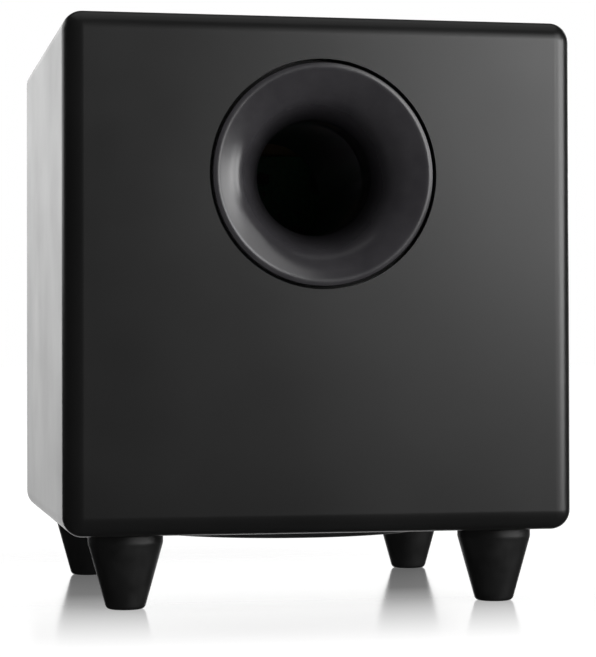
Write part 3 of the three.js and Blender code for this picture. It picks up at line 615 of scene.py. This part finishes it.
def copies(name, mesh, places, node=None, turn=None):
    """The same screw set at several places, each turned a little differently."""
    for i, place in enumerate(places, 1):
        one = mesh.copy()
        bmesh.ops.rotate(one, verts=one.verts, cent=(0, 0, 0),
                         matrix=Matrix.Rotation(math.radians(41 * i - 24), 3, "Y"))
        if turn:
            one.transform(turn)
        moved(one, place)
        piece(f"{name}_{i}", one, SCREW, replaces=f"{node}_{i}" if node else ())
    mesh.free()


SCREW_DOWN = Matrix.Rotation(-math.pi / 2, 4, "X")  # turns a screw's head from +Y to -Z


def make_feet():
    top = BOTTOM - 0.3
    profile = fillet([
        (3.9, 0, 0.4), (10.4, 0, 2.9), (20.25, 35.5, 1.2), (20.4, 36.4, 1.6), (20.4, top, 0.6), (2, top),
        (2, 22, 0.2), (3.9, 22, 0.3),
    ])
    for place, node in zip(FEET, FOOT_NODES):
        piece(node.replace("foot", "leg"), turned(profile, "z", place), FOOT, replaces=node, sharp=50)
    copies("foot_screw", screw_mesh(3.4, 2.4, 25, 1.5), [(x, y, 21.6) for x, y, _ in FEET], turn=SCREW_DOWN)


# -------- driver
def z_up(points):
    """Driver heights run from the cabinet's underside."""
    return [(p[0], p[1] + BOTTOM, *p[2:]) for p in points]


def arc(centre_r, centre_z, radius, a, b, steps):
    return [(centre_r + radius * math.cos(t), centre_z + radius * math.sin(t))
            for t in np.radians(np.linspace(a, b, steps + 1))]


def thickened(line, height):
    """A line of (radius, height) points and the same line set higher, as one closed profile."""
    return line + [(r, z + height) for r, z in line[::-1]]


def radial_blend(made):
    """The piece's placement baked into its mesh."""
    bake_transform(made)


def make_driver():
    wall, ledge, seat = 53.0, 45.0, 56.0
    shape = turned(fillet(z_up([
        (88, 1.4, 0.5), (104.4, 1.4, 0.8), (104.4, 4.4, 0.6), (92, 4.4, 1.0), (91.5, 18, 1.5),
        (63, ledge + 2.5, 1.5), (wall + 3, ledge + 2.5, 1.0), (wall + 3, seat + 3, 1.2), (24, seat + 3, 0.5),
        (24, seat, 0.4), (wall, seat, 1.2), (wall, ledge, 0.8), (61, ledge, 1.2), (88.5, 16.5, 1.2)])),
        steps=144)
    tools = []
    for start, low, high, edge in ((math.pi / 6, (55, -17, 21), (115, 17, 39), (4, 3)),
                                   (0, (wall - 10, -9, ledge + 3.5), (wall + 10, 9, ledge + 9.5), (1.5, 2))):
        for a in around(6, start):
            window = block(low, high, *edge)
            window.transform(Matrix.Translation((0, 0, BOTTOM)) @ Matrix.Rotation(a, 4, "Z"))
            tools.append(window)
    tools += bores(1.9, BOTTOM - 3, BOTTOM + 9, bolt_places(), "z", 24)
    piece("basket", carve(shape, *tools), STEEL_BLACK, replaces=("driver_flange", "driver_basket"))
    piece("driver_seal", sleeve(94, 97, BOTTOM + 4.5, BOTTOM + 5.3, 0.2, steps=128), FOAM,
          replaces="driver_gasket")
    low = 1.0
    roll = fillet(z_up([
        (73.5, low, 0.3), (76.2, low, 0.8), *arc(84, low, 7, 186, 354, 26), (91.6, low - 0.8, 0.5),
        (95, low - 0.8, 0.3), (95, low + 0.1, 0.3), *arc(84, low, 5.8, 356, 184, 26), (77.6, low + 1, 0.3),
        (73.5, low + 1, 0.3)]))
    surround = piece("surround_roll", turned(roll, steps=160), RUBBER, None, "driver_surround", sharp=50)
    radial_blend(surround)
    edge, neck, neck_z = low + 1.3, 20.2, 38.0
    line = [(76.5 - (76.5 - neck) * t, edge + (neck_z - edge) * t**0.88) for t in np.linspace(0, 1, 25)]
    cone = [(78, edge), *line, (neck, neck_z + 2.6), *[(r + 1.1, z + 1.5) for r, z in line[1:-1]][::-1],
            (76.5, edge + 1.6), (78, edge + 1.6)]
    piece("cone_paper", turned(z_up(cone), steps=160), PULP, "cone_assembly", "driver_cone", sharp=50)
    dome = [(31 * t, 29.6 - 8 * (1 - t**2)) for t in np.linspace(0, 1, 21)]
    piece("dust_dome", turned(z_up(thickened(dome, 1.2)), steps=128), PULP, "cone_assembly",
          "driver_dust_cap", sharp=50)
    glue = fillet(z_up([(29.2, 28.9, 0.2), (31.9, 29.3, 0.6), (32.2, 30.4, 0.3), (30.4, 30.7, 0.2)]))
    piece("cap_glue", turned(glue, steps=128), RUBBER, "cone_assembly")
    cloth = []
    for r in np.linspace(20.2, 60, 121):
        swing = math.sin((r - 22.5) / 28.5 * math.pi * 7) if 22.5 < r < 51 else 0.0
        cloth.append((r, ledge - 1.2 + 1.5 * swing))
    spider = piece("spider_disc", turned(z_up(thickened(cloth, 0.6)), steps=144), CLOTH, None,
                   "driver_spider", sharp=60)
    radial_blend(spider)
    piece("coil_former", sleeve(19.05, 19.9, BOTTOM + 37, BOTTOM + 76, 0.1), FILM, "cone_assembly",
          "voice_coil_former")
    turns = [(20.02, 53.0)]
    for i in range(38):
        turns += [(20.75, 53.05 + i * 0.5), (20.98, 53.25 + i * 0.5), (20.75, 53.45 + i * 0.5)]
    turns += [(20.02, 72.0)]
    piece("coil_winding", turned(z_up(turns)), COPPER, "cone_assembly", "voice_coil_winding", sharp=80)
    piece("front_plate", sleeve(22, 51, BOTTOM + 59.3, BOTTOM + 66.3, 0.5), ZINC, replaces="driver_top_plate")
    piece("ring_magnet", sleeve(27, 58, BOTTOM + 66.6, BOTTOM + 86.6, 1.2), FERRITE, replaces="driver_magnet")
    yoke = fillet(z_up([(6, 59.3, 0.4), (18.1, 59.3, 0.8), (18.1, 86.9, 0.4), (54, 86.9, 0.5),
                        (54, 92.9, 0.5), (52.5, 94.4, 0.6), (6, 94.4, 0.8)]))
    piece("back_plate", turned(yoke), ZINC, replaces="driver_yoke")
    strip = block((-13, 56.4, BOTTOM + 48.5), (13, 58.4, BOTTOM + 57.5), 0.3)
    piece("terminal_strip", strip, CHIP, replaces="driver_terminals")
    for i, x in enumerate((-7, 7)):
        tab = block((x - 2.4, 58.3, BOTTOM + 53.6), (x + 2.4, 66.9, BOTTOM + 54.4), 0.2, 2)
        hole = rod(0.8, BOTTOM + 53, BOTTOM + 55, 0, "z", (x, 64.5, 0), 24)
        rivet = rod(1.5, 58.3, 59.1, 0.3, "y", (x, 0, BOTTOM + 50.8), 24)
        piece(f"terminal_tab_{i + 1}", merged(carve(tab, hole), rivet), NICKEL)
    copies("driver_bolt", screw_mesh(3.9, 2.3, 10), bolt_places(BOTTOM + 1.3), "driver_screw", SCREW_DOWN)


# -------- plate amplifier
def make_plate():
    plate = prism(rounded_outline(180, 220, 8, (0, PLATE_Z)), BACK, HALF, bevel=0.5)
    near, far = BACK - 2, HALF + 2  # the tools' ends, clear of the plate
    tools = [
        *bores(4.9, near, far, [(x, 0, KNOBS_Z) for x in (VOLUME_X, CROSSOVER_X)], steps=48),
        *bores(5.7, near, far, [(x, 0, JACKS_Z) for x in (JACK_LEFT_X, JACK_RIGHT_X)], steps=48),
        *bores(2.6, near, far, [(LED_X, 0, KNOBS_Z)], steps=48),
        slab(PHASE_X, KNOBS_Z, 9, 4.8, near, far, 0),
        slab(ROCKER_X, MAINS_Z, 14.6, 21, near, far, 0),
        slab(INLET_X, MAINS_Z, 27.6, 20.2, near, far, 0),
        *bores(SCREW_BORE, near, far, PLATE_SCREWS, steps=24),
    ]
    piece("rear_plate", carve(plate, *tools), PLATE, replaces="amp_plate", flat=True)
    seal = prism(rounded_outline(179, 219, 8, (0, PLATE_Z)), BACK - 1.4, BACK - 0.1)
    hole = slab(0, PLATE_Z, 152, 192, BACK - 5, BACK + 5, 0)
    piece("plate_seal", carve(seal, hole, *bores(SCREW_BORE, BACK - 4, BACK + 4, PLATE_SCREWS)), FOAM,
          replaces="amp_gasket")
    heads = [(x, HALF + 0.1, z) for x, _, z in PLATE_SCREWS]
    copies("plate_screw", screw_mesh(3.8, 2.2, 15), heads, "amp_screw")


def numeral(text, x, z):
    """A numeral printed on the plate, read from behind, as a bmesh."""
    curve = bpy.data.curves.new("numeral", "FONT")
    curve.body, curve.size, curve.extrude = text, 3.2, 0.03
    curve.align_x, curve.align_y = "CENTER", "CENTER"
    made = placed("numeral", curve)
    mesh = evaluated_mesh(made)
    bpy.data.objects.remove(made)
    bpy.data.curves.remove(curve)
    turn = Matrix(((-1, 0, 0), (0, 0, 1), (0, 1, 0))).to_4x4()
    mesh.transform(Matrix.Translation((x, HALF + 0.03, z)) @ turn)
    return mesh


def bar(x, z, width, height, angle=0.0, reach=0.0):
    """A printed bar on the plate, reach out from (x, z) at an angle."""
    mesh = block((-width / 2, HALF, reach), (width / 2, HALF + 0.06, reach + height), 0)
    mesh.transform(Matrix.Translation((x, 0, z)) @ Matrix.Rotation(math.radians(angle), 4, "Y"))
    return mesh


def make_marks():
    marks = []
    for x in (VOLUME_X, CROSSOVER_X):
        marks += [bar(x, KNOBS_Z, 0.45, 2.2 if k % 5 == 0 else 1.4, -150 + 30 * k, 10.6) for k in range(11)]
    below = KNOBS_Z - 12.2
    marks += [numeral("0", VOLUME_X + 8.6, below), numeral("10", VOLUME_X - 9, below)]
    marks += [numeral("50", CROSSOVER_X + 9, below), numeral("150", CROSSOVER_X - 9.6, below)]
    marks += [numeral("0", PHASE_X + 7.6, KNOBS_Z), numeral("180", PHASE_X - 9.2, KNOBS_Z)]
    wide, high, x = 47.0, 21.0, (JACK_LEFT_X + JACK_RIGHT_X) / 2  # the frame round the jacks
    marks += [bar(x, JACKS_Z + side * high / 2, wide, 0.4) for side in (1, -1)]
    marks += [bar(x + side * (wide / 2 - 0.2), JACKS_Z - high / 2, 0.4, high) for side in (-1, 1)]
    marks += [bar(0, PLATE_Z + height, 150, 0.35) for height in (-46, 62, 14)]
    piece("plate_marks", merged(*marks), INK)


def make_controls():
    for name, x in (("volume", VOLUME_X), ("crossover", CROSSOVER_X)):
        can = slab(x, KNOBS_Z, 17, 17, BACK - 9.3, BACK - 0.3, 0.8)
        bush = sleeve(3.3, 4.6, BACK - 4, HALF + 4, 0.25, "y", (x, 0, KNOBS_Z), 48)
        hole = rod(3.3, HALF - 7.4, HALF + 9, 0, at=(x, 0, KNOBS_Z))
        legs = [slab(x + k, KNOBS_Z - 10.2, 1, 3.6, BACK - 8, BACK - 7.4, 0.1, 1) for k in (-5, 0, 5)]
        piece(f"{name}_can", merged(carve(can, hole), bush, *legs), ZINC, replaces=f"{name}_pot")
        flutes = turned(fillet([(0, 14), (6.4, 14), (7.2, 13.9, 0.5), (8.25, 12.6, 0.6), (8.9, 6.2, 0.5),
                                (8.9, 4.5, 0.5), (3, 4.4), (3, -6.9, 0.4), (0, -7)], False), "y", steps=120)
        for v in flutes.verts:
            r = math.hypot(v.co.x, v.co.z)
            if r > 7.6 and 5.4 < v.co.y < 13.4:
                a = math.atan2(v.co.z, v.co.x)
                cut = 1 - 0.035 * max(0.0, math.cos(24 * a)) ** 0.6
                v.co.x, v.co.z = v.co.x * cut, v.co.z * cut
        dish = block((-0.55, 12.9, 3.0), (0.55, 16, 9.5), 0)
        knob = moved(carve(flutes, dish), (x, HALF, KNOBS_Z))
        piece(f"{name}_grip", knob, KNOB, f"{name}_control", f"{name}_knob", sharp=28)
        line = slab(x, KNOBS_Z + 5.025, 1, 3.95, HALF + 12.7, HALF + 13.7, 0.1, 1)
        piece(f"{name}_pointer", line, INK, f"{name}_control")
    case = carve(slab(PHASE_X, KNOBS_Z, 16, 9, BACK - 7.3, BACK - 0.3, 0.4),
                 slab(PHASE_X, KNOBS_Z, 9, 4.8, BACK - 3.9, BACK + 2, 0))
    piece("phase_case", case, ZINC, replaces="phase_switch_housing")
    x = PHASE_X - 2
    stem = slab(x, KNOBS_Z, 4.2, 4, BACK - 1.75, HALF + 2.75, 0.35, 2)
    grooves = [slab(x, KNOBS_Z - 1.2 + 0.9 * k, 6, 0.4, HALF + 2.35, HALF + 4, 0) for k in range(4)]
    piece("phase_button", carve(stem, *grooves), SWITCH, "phase_switch", "phase_slider")
    lens = fillet([(0, BACK - 6), (3, BACK - 6, 0.3), (3, BACK - 0.3, 0.2), (2.3, BACK - 0.3),
                   (2.3, HALF + 0.2, 0.8), (1.7, HALF + 1.2, 1.2), (0, HALF + 1.75)], False)
    piece("led_dome", turned(lens, "y", (LED_X, 0, KNOBS_Z), 48), LENS, replaces="status_led")


def make_jacks():
    for side, x, colour in (("left", JACK_LEFT_X, WHITE), ("right", JACK_RIGHT_X, RED)):
        at = (x, 0, JACKS_Z)
        rear = carve(slab(x, JACKS_Z, 13, 14, BACK - 14.3, BACK - 0.3, 0.6),
                     rod(5.5, BACK - 5, BACK + 2, 0, at=at))
        piece(f"jack_{side}_block", rear, SWITCH)
        ring = sleeve(4.2, 5.4, BACK - 4.6, HALF + 0.1, 0.15, "y", at, 48)
        collar = sleeve(4.2, 7, HALF + 0.1, HALF + 1.5, 0.4, "y", at, 64)
        piece(f"jack_{side}_collar", merged(ring, collar), colour, replaces=f"rca_jack_{side}")
        piece(f"jack_{side}_barrel", sleeve(3.4, 4.15, BACK - 4, HALF + 11, 0.3, "y", at, 64), NICKEL)
        piece(f"jack_{side}_core", sleeve(1.65, 3.35, BACK - 4, HALF + 9.6, 0.2, "y", at, 48), colour)


def make_mains():
    x, z = INLET_X, MAINS_Z
    flange = prism(rounded_outline(31, 24.6, 2.2, (x, z)), HALF + 0.1, HALF + 2.5, bevel=0.5)
    body = slab(x, z, 27, 19.6, HALF - 21.6, HALF + 0.4, 0.8)
    outline = [(x - 12.2, z - 8.3, 1.2), (x + 12.2, z - 8.3, 1.2), (x + 12.2, z + 3.6, 1.5),
               (x + 7.6, z + 8.3, 1.5), (x - 7.6, z + 8.3, 1.5), (x - 12.2, z + 3.6, 1.5)]
    well = prism(fillet(outline), HALF - 16, HALF + 5)
    shroud = carve(carve(flange, body, operation="UNION"), well)
    piece("inlet_shroud", shroud, SWITCH, replaces="mains_inlet")
    for i, (px, pz) in enumerate(((0, 2.6), (-7, -2), (7, -2)), 1):
        piece(f"inlet_pin_{i}", slab(x + px, z + pz, 2, 4, HALF - 16.2, HALF - 3.9, 0.5), NICKEL)
    x = ROCKER_X
    bezel = prism(rounded_outline(17, 24, 1.4, (x, z)), HALF + 0.1, HALF + 2.1, bevel=0.5)
    body = slab(x, z, 14, 20.4, HALF - 15.6, HALF + 0.4, 0.6)
    well = slab(x, z, 12.2, 17.8, HALF - 9.9, HALF + 5, 0)
    piece("switch_bezel", carve(carve(bezel, body, operation="UNION"), well), SWITCH,
          replaces="power_switch_housing")
    h = 8.2
    outline = [(3.6, -h, 0.5), (2.2, 0, 9.0), (3.6, h, 0.5), (1.2, h, 0.5), (-4.2, h * 0.45, 3), (-5, 0, 3),
               (-4.2, -h * 0.45, 3), (1.2, -h, 0.5)]
    cap = prism(fillet(outline), -5.5, 5.5, "x", bevel=0.35)
    tilt = Matrix.Translation((x, HALF, z)) @ Matrix.Rotation(math.radians(9), 4, "X")
    cap.transform(tilt)
    piece("rocker_cap", cap, SWITCH, "power_switch", "power_rocker")
    on = slab(0, -4.5, 0.7, 2.8, 2.82, 3.02, 0.05, 1)
    off = turned(fillet([(1.15, 2.75), (1.7, 2.75), (1.7, 3.02), (1.15, 3.02)]), "y", (0, 0, 4.5), 40)
    signs = merged(on, off)
    signs.transform(tilt)
    piece("rocker_signs", signs, INK, "power_switch")


def make_electronics():
    x, z = -14, PLATE_Z + 42
    near = BACK - 0.3
    base = slab(x, z, 44, 30, near - 3, near, 0.4)
    shelf = slab(x, z - 13.5, 44, 3, near - 25.6, near - 1, 0.4)
    fins = [slab(x + k, z - 5, 2, 16, near - 13, near - 1, 0.3) for k in (-18, -9, 0, 9, 18)]
    piece("amp_bracket", carve(base, shelf, *fins, operation="UNION"), ALUMINIUM, replaces="heat_sink")
    face = HALF - 30  # the middle of the board's thickness
    z = PLATE_Z + 57.5
    corners = [(a * 67, 0, z + b * 32) for a in (-1, 1) for b in (-1, 1)]
    sheet = carve(slab(0, z, 144, 74, face - 0.8, face + 0.8, 0.15, 1),
                  *bores(SCREW_BORE, face - 3, face + 3, corners, steps=24))
    piece("board_sheet", sheet, BOARD, replaces="amp_board")
    cans = ((-52, 20, 8.7, 23), (-52, -14, 8.7, 23), (-26, 22, 5.8, 17), (50, -16, 7.8, 13),
            (28, -16, 7.8, 13))
    for i, (cx, cz, r, h) in enumerate(cans, 1):
        top = face - 0.9 - h
        can = turned(fillet([(0, face - 0.9), (r, face - 0.9, 0.8), (r, face - 3, 0.2),
                             (r - 0.5, face - 3.6, 0.3), (r, face - 4.4, 0.2), (r, top + 0.4, 0.8),
                             (r - 1, top, 0.3), (0, top)], False), "y", (cx, 0, z + cz), 64)
        piece(f"capacitor_{i}", can, SLEEVE if i < 4 else FERRITE)
        if i < 4:
            lid = rod(r - 1.4, top - 0.25, top + 0.1, 0.1, at=(cx, 0, z + cz), steps=48)
            piece(f"capacitor_lid_{i}", lid, ALUMINIUM)
    chips = ((-6, -8, 20, 16), (48, 20, 16, 11), (8, 22, 9, 6), (-8, 26, 9, 6))
    for i, (cx, cz, w, h) in enumerate(chips, 1):
        piece(f"chip_{i}", slab(cx, z + cz, w, h, face - 5.6, face - 1.4, 0.4), CHIP)
        legs = [slab(cx - w / 2 + 1.5 + k * 2, z + cz + s * (h / 2 + 0.9), 0.6, 1.8, face - 3.6,
                     face - 0.85, 0.1, 1) for k in range(int(w / 2) - 1) for s in (-1, 1)]
        piece(f"chip_legs_{i}", merged(*legs), NICKEL)
    rng = np.random.default_rng(11)
    small = []
    for k in range(26):
        cx, cz = rng.uniform(-38, 66), rng.uniform(-33, 33)
        if any(math.hypot(cx - a, cz - b) < r + 4 for a, b, r, _ in cans) or -18 < cx < 6 and -18 < cz < 2 \
                or 38 < cx < 58 and 12 < cz < 28 or -14 < cx < 14 and 17 < cz < 31:
            continue
        w, h = ((3.2, 1.6), (1.6, 3.2))[k % 2]
        small.append(slab(cx, z + cz, w, h, face - 1.9, face - 0.85, 0.15, 1))
    piece("board_resistors", merged(*small), CHIP)
    make_transformer()


def make_transformer():
    x, z = 26, PLATE_Z - 18
    high, low = BACK - 3.3, BACK - 33.3
    ring = turned(fillet([(9, low, 8), (36, low, 8), (36, high, 8), (9, high, 8)]), "y", steps=240)
    for v in ring.verts:
        a = math.atan2(v.co.z, v.co.x)
        step = (a * 22 / math.pi) % 1.0
        r = math.hypot(v.co.x, v.co.z)
        drop = 0.35 * step
        v.co.x *= (r - drop) / r
        v.co.z *= (r - drop) / r
        v.co.y += drop if v.co.y < (high + low) / 2 else -drop
    piece("toroid_tape", moved(ring, (x, 0, z)), TAPE, replaces="power_transformer", sharp=60)
    piece("toroid_pad", sleeve(9.5, 35, high + 0.2, high + 2.9, 0.6, "y", (x, 0, z)), RUBBER)
    dome = turned(fillet([(3.2, low - 0.3, 0.1), (22, low - 0.3, 0.4), (21.7, low - 1.7, 0.5),
                          (9, low - 2.3, 3), (3.2, low - 2.6, 0.2)]), "y", (x, 0, z))
    hexagon = [(x + 5 * math.cos(a), z + 5 * math.sin(a)) for a in around(6)]
    nut = prism(hexagon, low - 5.8, low - 2.6, bevel=0.3)
    stud = rod(2.9, low - 6.0, BACK - 0.3, 0.4, at=(x, 0, z))
    piece("toroid_washer", merged(dome, nut, stud), ZINC, replaces="transformer_bolt")


def smooth_path(points, count):
    """A Catmull-Rom curve through points, as count points."""
    made = []
    ends = [points[0], *points, points[-1]]
    spans = len(points) - 1
    for k in range(count):
        t = spans * k / (count - 1)
        i = min(int(t), spans - 1)
        t -= i
        a, b, c, d = (Vector(p) for p in ends[i:i + 4])
        made.append(0.5 * ((2 * b) + (c - a) * t + (2 * a - 5 * b + 4 * c - d) * t * t
                           + (3 * b - a - 3 * c + d) * t**3))
    return made


def wire(path, radius, offset, twist=0.0, sides=16):
    """A tube along a path, set off from it by offset and wound round it by twist turns."""
    mesh = bmesh.new()
    rings = []
    side = Vector((1, 0, 0))
    for i, point in enumerate(path):
        along = (path[min(i + 1, len(path) - 1)] - path[max(i - 1, 0)]).normalized()
        side = (side - along * side.dot(along)).normalized()
        other = along.cross(side)
        a = 2 * math.pi * twist * i / (len(path) - 1)
        centre = point + (side * math.cos(a) + other * math.sin(a)) * offset
        rings.append([mesh.verts.new(centre + (side * math.cos(b) + other * math.sin(b)) * radius)
                      for b in around(sides)])
    skin(mesh, rings)
    mesh.faces.new(rings[0])
    mesh.faces.new(rings[-1])
    bmesh.ops.recalc_face_normals(mesh, faces=mesh.faces)
    return mesh


def make_lead():
    """Two cores twisted together, from the board's edge to the driver's tabs."""
    path = smooth_path([(-30, 110, 191), (-32, 104, 170), (-32, 88, 142), (-20, 74, 120), (-4, 64, 106),
                        (0, 62.5, 97.5)], 90)
    piece("lead_core_red", wire(path, 0.95, 1.0, 5), LEAD_RED, replaces="speaker_lead")
    piece("lead_core_black", wire(path, 0.95, -1.0, 5), LEAD_BLACK)


make_cabinet()
make_wadding()
make_port()
make_feet()
make_driver()
make_plate()
make_marks()
make_controls()
make_jacks()
make_mains()
make_electronics()
make_lead()


# -------- floor, light and camera
def make_floor():
    """A pale table lit from below, which mirrors what stands on it when seen at a low angle, and less
    and less towards the front."""
    made, shader = nodes_of("pale_floor")
    place = coordinates(shader)
    x, y, _ = split(place)
    fill(shader, {"Base Color": (0.22, 0.22, 0.22, 1), "Specular IOR Level": 0.0,
                  "Emission Color": (1, 1, 1, 1)})
    link(remap(vector_maths("LENGTH", place), 0.80, 1.02, (0.12, 0.5)), shader.inputs["Emission Strength"])
    mirror = added(shader, "BsdfAnisotropic")
    fill(mirror, {"Color": (0.5, 0.5, 0.5, 1)})
    patches = texture("TexNoise", place, Scale=3.0, Detail=2.0)
    link(remap(patches.outputs["Fac"], 0.11, 0.13), mirror.inputs["Roughness"])
    grazing = added(shader, "Fresnel")
    fill(grazing, {"IOR": 1.5})
    fades = (  # behind, ahead, left and right of the object
        remap(y, 0.05, 2.36, (-0.29, -0.03)), remap(y, 1.0, 0.0, (0.13, 0.30)),
        remap(x, 0.0, 1.0, (-0.42, -0.27)), remap(x, 1.0, 0.0, (0.27, 0.42)))
    strength = arithmetic("MULTIPLY", grazing.outputs[0], grazing.outputs[0], *fades)
    link(mixed(strength, shader.outputs[0], mirror.outputs[0]),
         made.node_tree.nodes["Material Output"].inputs["Surface"])
    mesh = bmesh.new()
    bmesh.ops.create_circle(mesh, cap_ends=True, segments=96, radius=30)
    data = mesh_data("floor", mesh)
    data.materials.append(made)
    floor = placed("floor", data)
    floor.visible_glossy = False


AIM = Vector((0, -0.1, 0.18))  # where every softbox points


def softbox(name, azimuth, height, distance, size, radiance, hidden_from=()):
    """A soft area light standing azimuth degrees to the right of straight ahead, and hidden from the
    kinds of ray in hidden_from."""
    lamp = bpy.data.lights.new(name, "AREA")
    lamp.shape, lamp.size, lamp.size_y = "RECTANGLE", *size
    lamp.energy = radiance * math.pi * size[0] * size[1]
    made = placed(name, lamp)
    a = math.radians(azimuth)
    made.location = (distance * math.sin(a), -distance * math.cos(a), height)
    made.rotation_euler = (AIM - made.location).to_track_quat("-Z", "Y").to_euler()
    made.visible_camera = False
    made.visible_diffuse = "diffuse" not in hidden_from
    made.visible_glossy = "glossy" not in hidden_from


def flag(board, state, lamps):
    """Keep softboxes off one board (EXCLUDE) or on it alone (INCLUDE), as a studio's black flags do."""
    flagged = bpy.data.collections.new(f"flag_{board}")
    flagged.objects.link(bpy.data.objects[board])
    flagged.collection_objects[0].light_linking.link_state = state
    for name in lamps:
        bpy.data.objects[name].light_linking.receiver_collection = flagged


def make_light():
    """A narrow bright backdrop behind, seen as plain white, a dark room, a bank of softboxes from the
    front round to the right, and weaker ones overhead, behind and to the left."""
    scene = bpy.context.scene
    scene.world = bpy.data.worlds.new("studio")
    scene.world.use_nodes = True
    tree = scene.world.node_tree
    room = tree.nodes["Background"]
    direction = coordinates(room, "Generated")
    height = split(direction)["Z"]
    turn = math.radians(12)  # how far to the right of straight behind the backdrop stands
    towards = vector_maths("DOT_PRODUCT", direction, (math.sin(turn), math.cos(turn), 0))
    link(arithmetic("MULTIPLY", remap(towards, 0.0, 1.95, (0.833, 0.917)),
                    remap(height, 0.68, 1.22, (-0.12, 0.16)),
                    remap(height, 1.0, 0.0, (0.25, 0.4))), room.inputs["Strength"])
    paper = added(room, "Background")
    for background in (room, paper):
        fill(background, {"Color": (1, 1, 1, 1)})
    camera_ray = added(room, "LightPath").outputs["Is Camera Ray"]
    link(mixed(camera_ray, room.outputs[0], paper.outputs[0]),
         tree.nodes["World Output"].inputs["Surface"])
    bank = ((22, 0.78, 8.0), (34, 0.78, 4.0), (46, 0.74, 7.0), (58, 0.55, 5.0), (70, 0.45, 8.0))
    for azimuth, above, radiance in bank:
        softbox(f"bank_{azimuth}", azimuth, above, 3.0, (0.62, 1.05), radiance)
    softbox("upper", 40, 1.8, 2.8, (2.4, 1.0), 2.2)
    softbox("rear_right", 140, 0.9, 2.6, (1.2, 1.2), 3.0)
    softbox("rear_left", 220, 0.9, 2.6, (1.2, 1.2), 1.5)
    softbox("strip", 54, 0.4, 3.0, (0.26, 0.8), 7.5, ("diffuse",))
    softbox("overhead", 0, 2.2, 0.7, (2.6, 2.6), 1.2, ("glossy",))
    softbox("canopy", 0, 2.2, -0.2, (2.4, 2.2), 0.33, ("diffuse",))
    softbox("left_fill", 305, 0.8, 2.8, (1.6, 1.2), 1.3)
    flag("top_board", "EXCLUDE", [f"bank_{azimuth}" for azimuth, _, _ in bank] + ["strip"])
    flag("left_board", "INCLUDE", ["left_fill"])
    scene.view_settings.view_transform = "Standard"


def make_camera():
    lens = bpy.data.cameras.new("camera")
    lens.sensor_width = 36
    lens.lens = 128.97
    lens.shift_x = -0.0715
    made = placed("camera", lens)
    turn = Matrix.Identity(3)
    for axis, angle in (("Z", -0.2049), ("X", 0.0118), ("Y", 0.0025)):
        turn = turn @ Matrix.Rotation(angle, 3, axis)
    right, forward, up = turn.col[0], turn.col[1], turn.col[2]
    made.matrix_world = Matrix.Translation(row(-246.9, -1382.1, 136.77)) @ Matrix(
        (right, up, -forward)).transposed().to_4x4()
    bpy.context.scene.camera = made


make_floor()
make_light()
make_camera()
